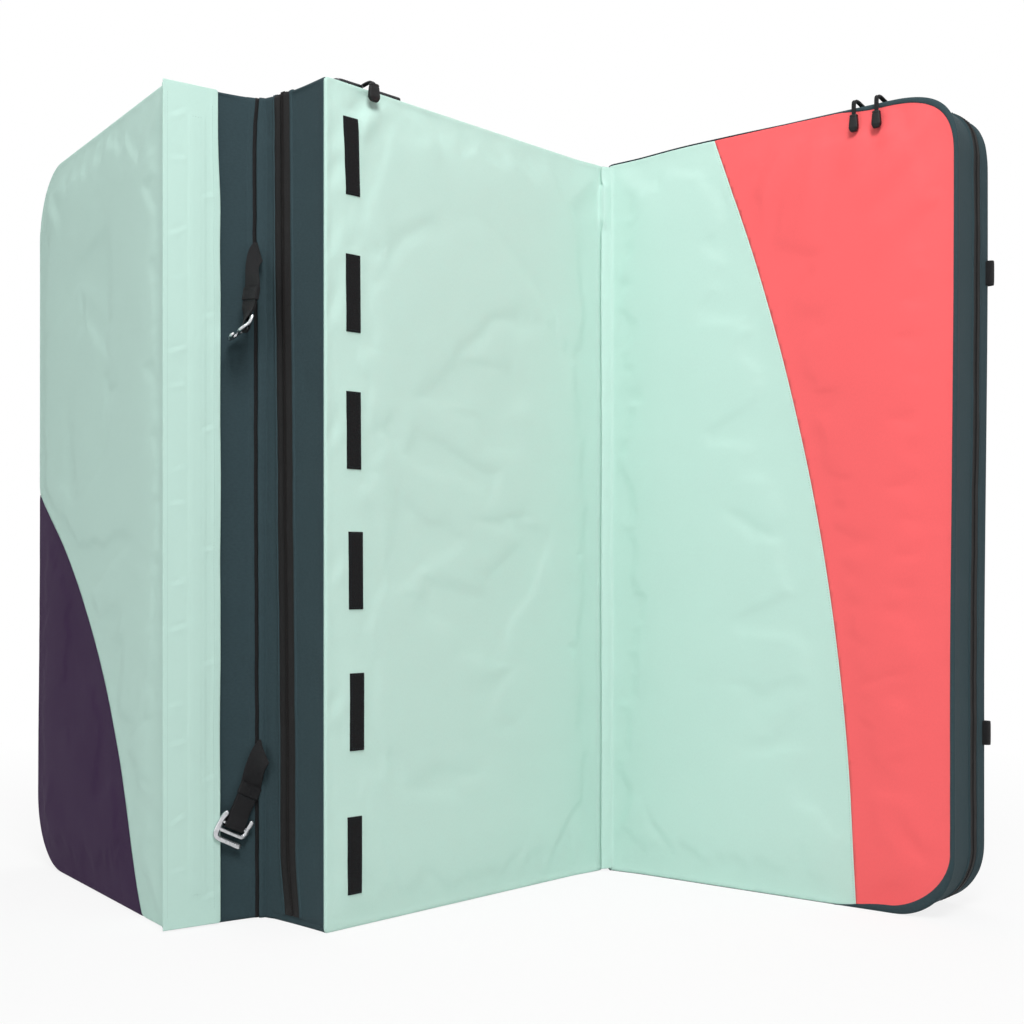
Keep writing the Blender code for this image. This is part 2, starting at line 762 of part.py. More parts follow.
def strap_hook(name, frame, looks, parent, origin):
    """An aluminium hook: plate with a webbing slot, an open mouth and two raised tips."""
    plate_half = HOOK_PLATE / 2
    plate = bmesh.new()
    loft_into(plate, plate_loops(frame, hook_outline(), plate_half))
    hook = add_mesh(name, plate, looks["aluminium"], parent, origin)
    slot = bmesh.new()
    loft_into(slot, plate_loops(frame, hook_slot(), 2 * HOOK_PLATE))
    slot_cutter = add_mesh(name + "_slot", slot, None, parent, origin)
    cut(hook, slot_cutter, "DIFFERENCE")
    tips = bmesh.new()
    inner = HOOK_WIDTH / 2 - HOOK_ARM
    outer = HOOK_WIDTH / 2
    low = HOOK_BAR / 2 - HOOK_BAR / 3
    bend = low + HOOK_TIP_LENGTH / 2
    high = low + HOOK_TIP_LENGTH
    side = [
        (low, -plate_half),
        (bend, -plate_half + HOOK_TIP_RISE / 3),
        (high, plate_half + HOOK_TIP_RISE - HOOK_TIP_END),
        (high, plate_half + HOOK_TIP_RISE),
        (bend, plate_half + HOOK_TIP_RISE / 2),
        (low, plate_half),
    ]
    for sign in (-1, 1):
        ends = sorted((sign * inner, sign * outer))
        loft_into(tips, [[frame @ Vector((a, b, c)) for b, c in side] for a in ends])
    tip_shape = add_mesh(name + "_tips", tips, None, parent, origin)
    cut(hook, tip_shape, "UNION")
    for helper in (slot_cutter, tip_shape):
        helper.hide_render = True
        helper.display_type = "WIRE"


def closing_strap(label, frames, layout, looks, bodies, origins):
    """Webbing, keeper and hook of one strap, each in its own frame and on its own body."""
    root_points, tail, keeper_at = layout
    strap_webbing(f"{label}_webbing", frames[0], root_points, tail, looks, bodies[0], origins[0])
    if keeper_at is not None:
        strap_keeper(f"{label}_keeper", frames[0], keeper_at, looks, bodies[0], origins[0])
    strap_hook(f"{label}_hook", frames[1], looks, bodies[1], origins[1])


def anchor_loops(panel, looks, parent, origin):
    """Short webbing loops at the inner panel's far edge, open from above for a hook's bar."""
    root_y = PANEL_DEPTH - EDGE_DROP
    wall = panel.start + PANEL_WIDTH + SEAT_GAP
    half = WEBBING / 2
    thick = WEBBING
    reach = wall + ANCHOR_REACH
    inner_gap = ANCHOR_REACH - thick
    hollow = wall - wall_inset(root_y - inner_gap)
    path_out = [
        (wall, root_y + half),
        (reach - thick, root_y + half),
        (reach, root_y - thick),
        (reach, root_y - inner_gap + thick),
        (reach - thick, root_y - inner_gap - half),
        (hollow, root_y - inner_gap - half),
    ]
    path_in = [
        (hollow, root_y - inner_gap + half),
        (reach - thick * 1.5, root_y - inner_gap + half),
        (reach - thick, root_y - inner_gap + thick * 1.3),
        (reach - thick, root_y - thick * 1.3),
        (reach - thick * 1.5, root_y - half),
        (wall, root_y - half),
    ]
    heights = (LOWER_ANCHOR_HEIGHT, PANEL_HEIGHT - UPPER_ANCHOR_DROP)
    for name, centre in zip(("lower_anchor_loop", "upper_anchor_loop"), heights):
        outline = path_out + path_in
        ends = (centre - ANCHOR_TALL / 2, centre + ANCHOR_TALL / 2)
        loops = [[(x, y, z) for x, y in outline] for z in ends]
        loft(name, loops, looks["webbing"], parent, origin)


def shoulder_strap(name, x, panel, looks, parent, origin):
    """A padded strap that lies flat on the ground side, rounded over and pinched at its ends."""
    back = PANEL_DEPTH + SEAT_GAP
    outward = 1 if x > panel.start + PANEL_WIDTH / 2 else -1
    loops = []
    for share, width, thickness in SHOULDER_STATION_SHARES:
        z = PANEL_HEIGHT - SHOULDER_DROP - share * SHOULDER_LENGTH
        a = SHOULDER_WIDTH / 2 * width
        c = SHOULDER_THICKNESS * thickness
        middle = x + outward * SHOULDER_BOW * math.sin(math.pi * share)
        loops.append([(middle + a * u, back + c * w, z) for u, w in SHOULDER_SECTION_SHARES])
    loft(name, loops, looks["slate"], parent, origin)


def flat_strip(name, strip, material, parent, origin):
    """A flat rectangle between two corners, at a depth and with a thickness."""
    low, high, back, thickness = strip
    corners = ((low[0], low[1]), (high[0], low[1]), (high[0], high[1]), (low[0], high[1]))
    loops = [[(x, y, z) for x, z in corners] for y in (back, back + thickness)]
    return loft(name, loops, material, parent, origin)


def harness(panel, looks, parent, origin):
    """Shoulder straps, their lower webbing with ladder locks, and the haul loop."""
    middle = panel.start + PANEL_WIDTH / 2
    back = PANEL_DEPTH + SEAT_GAP
    foot = PANEL_HEIGHT - SHOULDER_DROP - SHOULDER_LENGTH - SEAT_GAP
    half = WEBBING_WIDTH / 2
    lock_half = half + LOCK_SIDE
    front = back + WEBBING + SEAT_GAP
    for side, x in (("left", middle - SHOULDER_SPREAD), ("right", middle + SHOULDER_SPREAD)):
        shoulder_strap(side + "_shoulder_strap", x, panel, looks, parent, origin)
        strip = ((x - half, foot - HARNESS_LENGTH), (x + half, foot), back, WEBBING)
        flat_strip(side + "_harness_webbing", strip, looks["webbing"], parent, origin)
        lock = ((x - lock_half, foot - LOCK_HEIGHT), (x + lock_half, foot), front, LOCK_THICKNESS)
        flat_strip(side + "_ladder_lock", lock, looks["plastic"], parent, origin)
    haul = PANEL_HEIGHT - HAUL_DROP
    low = (middle - HAUL_WIDTH / 2, haul - half)
    high = (middle + HAUL_WIDTH / 2, haul + half)
    flat_strip("haul_loop", (low, high, back, WEBBING), looks["webbing"], parent, origin)


def build_outer_panel(panel, looks, parent, origin):
    disc = (PURPLE_CENTRE, PURPLE_RADIUS, PURPLE_SPAN)
    names = ("outer_panel_purple_sheet", "outer_panel_mint_sheet")
    two_colour_sheet(panel, names, (looks["purple"], looks["mint"]), disc, parent, origin)
    cover_sheet("outer_panel_ground_sheet", panel, "back", looks["slate"], parent, origin)
    side_band("outer_panel_side_band", panel, looks["slate"], parent, origin)
    foam_filling(panel, looks, parent, origin)


def build_middle_panel(panel, looks, parent):
    origin = Vector((0, 0, 0))
    cover_sheet("middle_panel_landing_sheet", panel, "front", looks["mint"], parent, origin)
    cover_sheet("middle_panel_ground_sheet", panel, "back", looks["slate"], parent, origin)
    side_band("middle_panel_side_band", panel, looks["slate"], parent, origin)
    foam_filling(panel, looks, parent, origin)
    zipper("middle_panel_zip", panel, middle_zip_path, looks, parent, origin)
    loop_patches(panel, looks, parent)


def build_inner_panel(panel, looks, parent, origin):
    disc = (CORAL_CENTRE, CORAL_RADIUS, CORAL_SPAN)
    names = ("inner_panel_mint_sheet", "inner_panel_coral_sheet")
    two_colour_sheet(panel, names, (looks["mint"], looks["coral"]), disc, parent, origin)
    cover_sheet("inner_panel_ground_sheet", panel, "back", looks["slate"], parent, origin)
    side_band("inner_panel_side_band", panel, looks["slate"], parent, origin)
    foam_filling(panel, looks, parent, origin)
    zipper("inner_panel_zip", panel, inner_zip_path, looks, parent, origin)
    anchor_loops(panel, looks, parent, origin)
    harness(panel, looks, parent, origin)


def seam_reach(gap):
    """Distance from a fold axis to the panel corners beside it."""
    return math.hypot(gap / 2, FOLD_STANDOFF + EDGE_DROP * FOLD_DROP_SHARE)


def strap_root(wall, height):
    """Where a side strap leaves the seam roll: its middle, seated on the roll."""
    roll = seam_reach(OUTER_FOLD_GAP) - SEAT_GAP
    seat = PANEL_DEPTH + FOLD_STANDOFF - roll - SEAT_GAP
    return Vector((wall + OUTER_FOLD_GAP / 2, seat, height))


def strap_bends(root, bends):
    return [(root + Vector(offset), Vector(across)) for offset, across in bends]


def build_lower_strap(wall, looks, parent, fold_origin):
    """The closing strap that folds out of the outer fold's seam and lies along the fold wall."""
    flap_front = wall + SEAT_GAP + FLAP_THICKNESS
    bar = Vector((flap_front + 2 * SEAT_GAP + HOOK_PLATE / 2, *LOWER_BAR_PLACE))
    along = Vector((0.0, math.sin(LOWER_STRAP_TILT), math.cos(LOWER_STRAP_TILT)))
    across = Vector((0.0, math.cos(LOWER_STRAP_TILT), -math.sin(LOWER_STRAP_TILT)))
    frame = strap_frame(bar, across, along)
    roots = strap_bends(strap_root(wall, LOWER_STRAP_EXIT), LOWER_STRAP_BENDS)
    roots.append((frame @ Vector((0.0, LOWER_STRAP_LAY, -under_layer())), across))
    body = make_empty("lower_strap_axis", parent, Vector((0, 0, 0)))
    hook_body = make_empty("lower_hook_axis", body, bar - fold_origin)
    layout = (roots, LOWER_TAIL, LOWER_KEEPER_PLACE)
    closing_strap("lower_strap", (frame, frame), layout, looks, (body, hook_body), (fold_origin, bar))


def build_upper_strap(wall, looks, parent, fold_origin):
    """The closing strap that twists as it hangs, so that its hook stands off the fold wall."""
    bar = Vector((wall + UPPER_BAR_STANDOFF, UPPER_BAR_DEPTH, PANEL_HEIGHT - UPPER_BAR_DROP))
    across = Vector((math.cos(UPPER_STRAP_YAW), -math.sin(UPPER_STRAP_YAW), 0.0))
    droop = Vector((0.0, math.sin(UPPER_HOOK_TILT), math.cos(UPPER_HOOK_TILT)))
    webbing_frame = strap_frame(bar, across, Vector((0.0, UPPER_STRAP_LEAN, 1.0)))
    hook_frame = strap_frame(bar, across, droop)
    roots = strap_bends(strap_root(wall, PANEL_HEIGHT - UPPER_STRAP_EXIT_DROP), UPPER_STRAP_BENDS)
    roots.append((webbing_frame @ Vector((0.0, UPPER_STRAP_LAY, -under_layer())), across))
    body = make_empty("upper_strap_axis", parent, Vector((0, 0, 0)))
    hook_body = make_empty("upper_hook_axis", body, bar - fold_origin)
    frames = (webbing_frame, hook_frame)
    layout = (roots, UPPER_TAIL, UPPER_KEEPER_PLACE)
    closing_strap("upper_strap", frames, layout, looks, (body, hook_body), (fold_origin, bar))


def build_top_straps(looks, parent):
    """Two more closing straps that lie across the middle panel's top wall, hooks to the front."""
    height = PANEL_HEIGHT + SEAT_GAP + WEBBING / 2
    across = Vector((1.0, 0.0, 0.0))
    for label, x in TOP_STRAP_PLACES:
        bar = Vector((x, TOP_BAR_DEPTH, PANEL_HEIGHT + SEAT_GAP + HOOK_PLATE / 2))
        frame = strap_frame(bar, across, Vector((0.0, 1.0, 0.0)))
        root = Vector((x, PANEL_DEPTH - EDGE_DROP, height))
        roots = [(root, across), (Vector((x, 2 * TOP_BAR_DEPTH, height)), across)]
        body = make_empty(label + "_axis", parent, root)
        hook_body = make_empty(label + "_hook_axis", body, bar - root)
        layout = (roots, TOP_TAIL, None)
        closing_strap(label, (frame, frame), layout, looks, (body, hook_body), (root, bar))


def build_pulls(panel, labels, looks, parent, panel_origin):
    corner = PANEL_WIDTH - CORNER_RADIUS
    places = {
        "middle": MIDDLE_PULL_PLACE,
        "inner_left": corner - INNER_LEFT_PULL,
        "inner_right": corner + INNER_RIGHT_PULL,
    }
    for label, x in places.items():
        if label not in labels:
            continue
        place = Vector((panel.start + x, slider_centre(), slider_height()))
        slider_body = make_empty(label + "_slider_axis", parent, place - panel_origin)
        zip_slider(label + "_zip_slider", place.x, looks, slider_body, place)
        hinge = Vector((place.x, place.y, stem_height()))
        pull_body = make_empty(label + "_pull_axis", slider_body, hinge - place)
        zip_pull(label, place.x, looks, pull_body, hinge)


def main():
    clear_scene()
    looks = make_materials()
    middle_start = 0.0
    outer_start = -OUTER_FOLD_GAP - PANEL_WIDTH
    inner_start = PANEL_WIDTH + INNER_FOLD_GAP
    outer = Panel("outer_panel", outer_start, CORNER_RADIUS, 0.0, None, "right")
    middle = Panel("middle_panel", middle_start, 0.0, 0.0, "right", "left")
    inner = Panel("inner_panel", inner_start, 0.0, CORNER_RADIUS, "left", None)

    centre = Vector((PANEL_WIDTH / 2, PANEL_DEPTH / 2, 0.0))
    row = make_empty("flat_row", None, -(Matrix.Rotation(MIDDLE_HEADING, 3, "Z") @ centre), MIDDLE_HEADING)
    outer_fold = Vector((-OUTER_FOLD_GAP / 2, PANEL_DEPTH + FOLD_STANDOFF, 0.0))
    inner_fold = Vector((PANEL_WIDTH + INNER_FOLD_GAP / 2, -FOLD_STANDOFF, 0.0))
    outer_axis = make_empty("outer_fold_axis", row, outer_fold, -OUTER_FOLD_OPENING)
    inner_axis = make_empty("inner_fold_axis", row, inner_fold, -INNER_FOLD_TURN)

    build_middle_panel(middle, looks, row)
    build_outer_panel(outer, looks, outer_axis, outer_fold)
    build_inner_panel(inner, looks, inner_axis, inner_fold)

    fold_seam("outer_fold_seam", outer_fold, seam_reach(OUTER_FOLD_GAP), looks["slate"], row)
    fold_seam("inner_fold_seam", inner_fold, seam_reach(INNER_FOLD_GAP), looks["mint"], row)

    wall = outer_start + PANEL_WIDTH
    flap_hinge = Vector((wall + SEAT_GAP, -FLAP_STANDOFF, 0.0))
    flap_axis = make_empty("flap_axis", outer_axis, flap_hinge - outer_fold)
    closing_flap(outer, looks, flap_axis, flap_hinge)
    build_lower_strap(wall, looks, outer_axis, outer_fold)
    build_upper_strap(wall, looks, outer_axis, outer_fold)
    build_top_straps(looks, row)
    build_pulls(middle, ("middle",), looks, row, Vector((0, 0, 0)))
    build_pulls(inner, ("inner_left", "inner_right"), looks, inner_axis, inner_fold)


main()
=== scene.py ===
"""Looks of a folding bouldering pad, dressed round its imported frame.

All sizes are metres. Soft pieces are first laid out in one flat row of panels, as the pad lies when it
is opened: x along the row, y from the landing side (0) to the ground side, z up. Each panel's matrix
then stands them where the frame's joints say.
"""

import json
import math

import bmesh
import bpy
import numpy as np
from mathutils import Matrix, Vector, noise
from mathutils.bvhtree import BVHTree


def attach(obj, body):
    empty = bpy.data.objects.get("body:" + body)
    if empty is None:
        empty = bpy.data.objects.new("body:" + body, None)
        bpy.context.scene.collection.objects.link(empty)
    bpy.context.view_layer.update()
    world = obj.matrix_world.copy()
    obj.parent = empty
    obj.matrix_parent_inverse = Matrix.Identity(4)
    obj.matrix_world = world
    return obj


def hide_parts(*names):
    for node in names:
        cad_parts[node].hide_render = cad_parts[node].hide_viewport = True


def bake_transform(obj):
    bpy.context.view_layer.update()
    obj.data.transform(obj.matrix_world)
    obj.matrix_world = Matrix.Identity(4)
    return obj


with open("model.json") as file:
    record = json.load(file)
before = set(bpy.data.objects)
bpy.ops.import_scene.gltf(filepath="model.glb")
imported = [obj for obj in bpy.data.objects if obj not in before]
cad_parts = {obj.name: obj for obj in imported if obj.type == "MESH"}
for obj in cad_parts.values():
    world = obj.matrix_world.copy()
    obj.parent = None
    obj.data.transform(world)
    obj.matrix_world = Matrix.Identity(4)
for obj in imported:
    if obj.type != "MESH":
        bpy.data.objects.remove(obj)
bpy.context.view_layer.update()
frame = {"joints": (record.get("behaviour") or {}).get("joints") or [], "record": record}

# Panels: sizes and corner radii, and the gaps at the folds
WIDTH, HEIGHT, DEPTH = 0.500, 1.000, 0.120
BIG_CORNER, SMALL_CORNER, FULL_CORNER = 0.100, 0.006, 0.077
OUTER_GAP, INNER_GAP, STANDOFF = 0.010, 0.002, 0.0015

# Covers: how they fall away to their edges, and how the walls are drawn in
EDGE_DROP, FOLD_DROP, CROWN_REACH = 0.0060, 0.0015, 0.095
EDGE_ROUND, SEAM_GROOVE, COVER_CLOTH = 0.0035, 0.0010, 0.0012
WALL_DRAW, TOP_WALL_DRAW = 0.005, 0.0015
CELL, OUTLINE_STEP = 0.0065, 0.0075
FOLD_STRENGTH, FOLD_WIDTH = 1.35, 1.45

# Cloth simulation: shrinkage, air pressure, frames, and how far a point may travel
CLOTH_EASE, PRESSURE, SIM_FRAMES = -0.012, 0.6, 20
TRAVEL_ACROSS, TRAVEL_OUT = 0.0020, 0.0009

# How far the covers stand out past their foam at the far corners
TOP_FULLNESS, TOP_LIFT, CORNER_PUSH = 0.0045, 0.0050, 0.0065
LOW_FULLNESS = 0.0100

# Seeds of the noise in each panel's cover and side band
COVER_SEEDS = {"outer": 3.1, "middle": 7.7, "inner": 12.9}
BAND_SEEDS = {"outer": 41.0, "middle": 52.0, "inner": 63.0}
BACK_SEED = 31.0


class Panel:
    """A panel's place in the flat row, its corner radii, its fold sides and its body."""

    def __init__(self, name, start, left, right, front_fold, back_fold):
        self.name = name
        self.body = name + "_panel"
        self.start = start
        self.left = left
        self.right = right
        self.fold = {"front": front_fold, "back": back_fold}


OUTER = Panel("outer", -OUTER_GAP - WIDTH, BIG_CORNER, SMALL_CORNER, None, "right")
MIDDLE = Panel("middle", 0.0, SMALL_CORNER, SMALL_CORNER, "right", "left")
INNER = Panel("inner", WIDTH + INNER_GAP, SMALL_CORNER, FULL_CORNER, "left", None)


def joint(name):
    return next(j for j in frame["joints"] if j["name"] == name)


def standing_matrices():
    """Matrices that take the flat row to the standing pose, one for each panel."""
    record = frame["record"]
    ground = next(m for m in record["mounts"] if m["name"] == "ground_face")
    heading = math.atan2(-ground["axis"][0], ground["axis"][1])
    turn = Matrix.Rotation(heading, 4, "Z")
    row = turn @ Matrix.Translation((-WIDTH / 2, -DEPTH / 2, 0.0))
    matrices = {"middle": row}
    folds = (("outer", "fold_outer", (-OUTER_GAP / 2, DEPTH + STANDOFF, 0.0)),
             ("inner", "fold_inner", (WIDTH + INNER_GAP / 2, -STANDOFF, 0.0)))
    for name, joint_name, axis in folds:
        fold = joint(joint_name)
        opening = math.radians(fold["range_deg"][0])
        place = Matrix.Translation(Vector(fold["pos_m"])) @ Matrix.Rotation(heading + opening, 4, "Z")
        matrices[name] = place @ Matrix.Translation(-Vector(axis))
    return matrices


STAND = standing_matrices()


# Materials

def nodes_of(name):
    material = bpy.data.materials.new(name)
    material.use_nodes = True
    tree = material.node_tree
    return material, tree, tree.nodes["Principled BSDF"]


def add(tree, kind, **settings):
    node = tree.nodes.new(kind)
    for key, value in settings.items():
        setattr(node, key, value)
    return node


def set_inputs(node, **values):
    for key, value in values.items():
        node.inputs[key.replace("_", " ")].default_value = value


def mix_colors(tree, factor, first, second, blend="MIX"):
    node = add(tree, "ShaderNodeMix", data_type="RGBA", blend_type=blend)
    for socket, value in ((node.inputs[0], factor), (node.inputs[6], first), (node.inputs[7], second)):
        if hasattr(value, "is_linked"):
            tree.links.new(value, socket)
        elif isinstance(value, (int, float)):
            socket.default_value = value
        else:
            socket.default_value = (*value, 1.0)
    return node.outputs[2]


def math_node(tree, operation, first, second=None):
    node = add(tree, "ShaderNodeMath", operation=operation)
    for socket, value in zip(node.inputs, (first, second)):
        if value is None:
            continue
        if hasattr(value, "is_linked"):
            tree.links.new(value, socket)
        else:
            socket.default_value = value
    return node.outputs[0]


def noise_value(tree, vector, scale, detail=3.0, roughness=0.55):
    node = add(tree, "ShaderNodeTexNoise")
    set_inputs(node, Scale=scale, Detail=detail, Roughness=roughness)
    tree.links.new(vector, node.inputs["Vector"])
    return node.outputs["Fac"]


def ramp(tree, value, low, high, bottom=0.0, top=1.0):
    node = add(tree, "ShaderNodeMapRange")
    set_inputs(node, From_Min=low, From_Max=high, To_Min=bottom, To_Max=top)
    tree.links.new(value, node.inputs["Value"])
    return node.outputs["Result"]


def weave_height(tree, uv, pitch_u, pitch_v):
    """Plain weave: warp and weft threads that pass over each other in turn."""
    split = add(tree, "ShaderNodeSeparateXYZ")
    tree.links.new(uv, split.inputs[0])
    warp = math_node(tree, "SINE", math_node(tree, "MULTIPLY", split.outputs[0], 2 * math.pi / pitch_u))
    weft = math_node(tree, "SINE", math_node(tree, "MULTIPLY", split.outputs[1], 2 * math.pi / pitch_v))
    product = math_node(tree, "MULTIPLY", warp, weft)
    both = math_node(tree, "ADD", math_node(tree, "ABSOLUTE", warp), math_node(tree, "ABSOLUTE", weft))
    return math_node(tree, "ADD", product, math_node(tree, "MULTIPLY", both, 0.5))


def bump(tree, height, strength, distance, normal=None):
    node = add(tree, "ShaderNodeBump")
    set_inputs(node, Strength=strength, Distance=distance)
    tree.links.new(height, node.inputs["Height"])
    if normal is not None:
        tree.links.new(normal, node.inputs["Normal"])
    return node.outputs["Normal"]


def cloth(name, color, pitch, roughness, sheen, speck=0.06, shade=0.05, lift=0.35, crumple=0.5):
    """Woven cloth: thread relief with painted shade in the weave's grooves, thread-to-thread colour, a soft cloudy tone
    and fine crumples.
    """
    material, tree, shader = nodes_of(name)
    uv = add(tree, "ShaderNodeTexCoord").outputs["UV"]
    weave = weave_height(tree, uv, pitch, pitch)
    stretch = add(tree, "ShaderNodeMapping")
    stretch.inputs["Scale"].default_value = (1.0, 0.5, 1.0)
    tree.links.new(uv, stretch.inputs["Vector"])
    thread = noise_value(tree, stretch.outputs["Vector"], 0.6 / pitch, 2.0)
    cloudy = noise_value(tree, uv, 9.0, 4.0)
    dark = tuple(c * (1.0 - 2.0 * speck) for c in color)
    light = tuple(min(1.0, c * (1.0 + speck)) for c in color)
    base = mix_colors(tree, ramp(tree, thread, 0.35, 0.65), dark, light)
    faded = tuple(min(1.0, c * (1.0 + shade) + 0.3 * shade * c) for c in color)
    base = mix_colors(tree, ramp(tree, cloudy, 0.42, 0.72, 0.0, 0.55), base, faded)
    # Painted shade: the weave's low parts are darkened in the base colour, as shade between the threads.
    grooves = ramp(tree, weave, -0.6, 0.4, 0.88, 1.0)
    tree.links.new(mix_colors(tree, 1.0, base, grooves, "MULTIPLY"), shader.inputs["Base Color"])
    fine = noise_value(tree, uv, 55.0, 4.0, 0.6)
    tree.links.new(ramp(tree, cloudy, 0.3, 0.7, roughness - 0.05, roughness + 0.05), shader.inputs["Roughness"])
    first = bump(tree, fine, crumple, 0.0012)
    tree.links.new(bump(tree, weave, lift, pitch * 0.22, first), shader.inputs["Normal"])
    set_inputs(shader, Sheen_Weight=sheen, Sheen_Roughness=0.45, Specular_IOR_Level=0.22)
    return material


def webbing_cloth(name, color):
    """Heavy flat webbing: ribs across the width and a herringbone of fine threads."""
    material, tree, shader = nodes_of(name)
    uv = add(tree, "ShaderNodeTexCoord").outputs["UV"]
    ribs = weave_height(tree, uv, 0.0021, 0.0014)
    thread = noise_value(tree, uv, 900.0, 2.0)
    worn = noise_value(tree, uv, 60.0, 4.0)
    light = tuple(c * 2.1 + 0.006 for c in color)
    base = mix_colors(tree, ramp(tree, thread, 0.45, 0.75), color, light)
    base = mix_colors(tree, ramp(tree, worn, 0.55, 0.8, 0.0, 0.35), base, tuple(c * 3.0 + 0.01 for c in color))
    tree.links.new(base, shader.inputs["Base Color"])
    tree.links.new(ramp(tree, thread, 0.3, 0.7, 0.55, 0.75), shader.inputs["Roughness"])
    first = bump(tree, ribs, 0.7, 0.0005)
    tree.links.new(bump(tree, thread, 0.35, 0.0002, first), shader.inputs["Normal"])
    set_inputs(shader, Sheen_Weight=0.04, Sheen_Roughness=0.5, Specular_IOR_Level=0.25)
    return material


def pile_cloth(name, color, scale):
    """Hook or loop tape: a dense nap of tiny loops on a woven ground."""
    material, tree, shader = nodes_of(name)
    uv = add(tree, "ShaderNodeTexCoord").outputs["UV"]
    cells = add(tree, "ShaderNodeTexVoronoi")
    set_inputs(cells, Scale=scale, Randomness=0.85)
    tree.links.new(uv, cells.inputs["Vector"])
    fuzz = noise_value(tree, uv, scale * 0.6, 4.0, 0.7)
    tone = mix_colors(tree, ramp(tree, fuzz, 0.35, 0.7), color, tuple(c * 2.6 + 0.004 for c in color))
    tree.links.new(tone, shader.inputs["Base Color"])
    first = bump(tree, cells.outputs["Distance"], 0.8, 0.0009)
    tree.links.new(bump(tree, fuzz, 0.5, 0.0008, first), shader.inputs["Normal"])
    tree.links.new(ramp(tree, fuzz, 0.3, 0.7, 0.85, 1.0), shader.inputs["Roughness"])
    set_inputs(shader, Sheen_Weight=0.03, Sheen_Roughness=0.6, Specular_IOR_Level=0.15)
    return material


def moulded(name, color, roughness):
    """Moulded plastic: a fine spark-eroded grain with a little wear."""
    material, tree, shader = nodes_of(name)
    place = add(tree, "ShaderNodeTexCoord").outputs["Object"]
    grain = noise_value(tree, place, 2200.0, 3.0, 0.6)
    worn = noise_value(tree, place, 160.0, 3.0)
    tone = mix_colors(tree, ramp(tree, worn, 0.5, 0.8, 0.0, 0.5), color, tuple(c * 2.2 + 0.008 for c in color))
    tree.links.new(tone, shader.inputs["Base Color"])
    tree.links.new(ramp(tree, grain, 0.3, 0.7, roughness - 0.08, roughness + 0.1), shader.inputs["Roughness"])
    tree.links.new(bump(tree, grain, 0.25, 0.0002), shader.inputs["Normal"])
    shader.inputs["Specular IOR Level"].default_value = 0.30
    return material


def brushed(name, color):
    """Tumbled aluminium plate: satin, with fine scratches and dull patches."""
    material, tree, shader = nodes_of(name)
    place = add(tree, "ShaderNodeTexCoord").outputs["Object"]
    stretch = add(tree, "ShaderNodeMapping")
    stretch.inputs["Scale"].default_value = (1.0, 1.0, 0.06)
    tree.links.new(place, stretch.inputs["Vector"])
    streak = noise_value(tree, stretch.outputs["Vector"], 2600.0, 2.0)
    dull = noise_value(tree, place, 240.0, 4.0)
    tone = mix_colors(tree, ramp(tree, dull, 0.4, 0.75), color, tuple(c * 0.82 for c in color))
    tree.links.new(tone, shader.inputs["Base Color"])
    rough = math_node(tree, "ADD", ramp(tree, streak, 0.3, 0.7, 0.16, 0.30), ramp(tree, dull, 0.4, 0.8, 0.0, 0.14))
    tree.links.new(rough, shader.inputs["Roughness"])
    tree.links.new(bump(tree, streak, 0.12, 0.0001), shader.inputs["Normal"])
    shader.inputs["Metallic"].default_value = 1.0
    return material


LOOKS = {
    "mint": cloth("mint_cloth", (0.562, 0.790, 0.708), 0.0011, 0.8, 0.02, speck=0.006, shade=0.012, crumple=0.2),
    "coral": cloth("coral_cloth", (0.985, 0.140, 0.148), 0.0011, 0.8, 0.0, speck=0.008, shade=0.012, crumple=0.2),
    "purple": cloth("purple_cloth", (0.034, 0.012, 0.050), 0.0011, 0.85, 0.01, speck=0.02, shade=0.02, crumple=0.2),
    "slate": cloth("slate_cloth", (0.036, 0.064, 0.074), 0.0014, 0.88, 0.02, speck=0.04, shade=0.03, lift=0.5),
    # Green thread set darker than the cloth it sews: its own colour, partly painted shade along the stitch rows.
    "thread": cloth("pale_thread", (0.34, 0.52, 0.46), 0.0006, 0.7, 0.0),
    "dark_thread": cloth("dark_thread", (0.030, 0.042, 0.048), 0.0006, 0.7, 0.0),
    "zip": webbing_cloth("zip_cloth", (0.0075, 0.0068, 0.0070)),
    "coil": moulded("zip_coil_nylon", (0.011, 0.009, 0.009), 0.60),
    "plastic": moulded("black_moulded_plastic", (0.0045, 0.0045, 0.0050), 0.42),
    "webbing": webbing_cloth("black_strap_webbing", (0.0065, 0.0065, 0.0075)),
    "loop": pile_cloth("loop_tape_nap", (0.0035, 0.0035, 0.0040), 900.0),
    "aluminium": brushed("tumbled_aluminium", (0.62, 0.63, 0.65)),
    "dark_aluminium": brushed("dark_anodised_aluminium", (0.060, 0.062, 0.066)),
}


# Meshes

def fullness(point, matrix):
    """A row-frame point, moved by how far the cover stands out past its foam at a far corner."""
    if matrix is STAND["inner"]:
        x, z = point[0] - INNER.start, point[2]
        across = TOP_FULLNESS * smoothstep((x - WIDTH + 0.087) / 0.085) * smoothstep((z - 0.25) / 0.6)
        up = TOP_LIFT * smoothstep((x + 0.02) / 0.16) * smoothstep((z - 0.55) / 0.42)
        out, high = max(x - WIDTH + FULL_CORNER, 0.0), max(z - HEIGHT + FULL_CORNER, 0.0)
        reach = min(1.0, math.hypot(out, high) / FULL_CORNER)
        push = CORNER_PUSH * math.sin(2.0 * math.atan2(out, high)) ** 2 * reach ** 2 / math.sqrt(2.0)
        return Vector((point[0] + across + push, point[1], z + up + push))
    if matrix is STAND["outer"]:
        x, z = point[0] - OUTER.start, point[2]
        across = LOW_FULLNESS * (1.0 - smoothstep((x + 0.002) / 0.16)) * (1.0 - smoothstep((z - 0.02) / 0.5))
        return Vector((point[0] - across, point[1], z))
    return Vector(point)


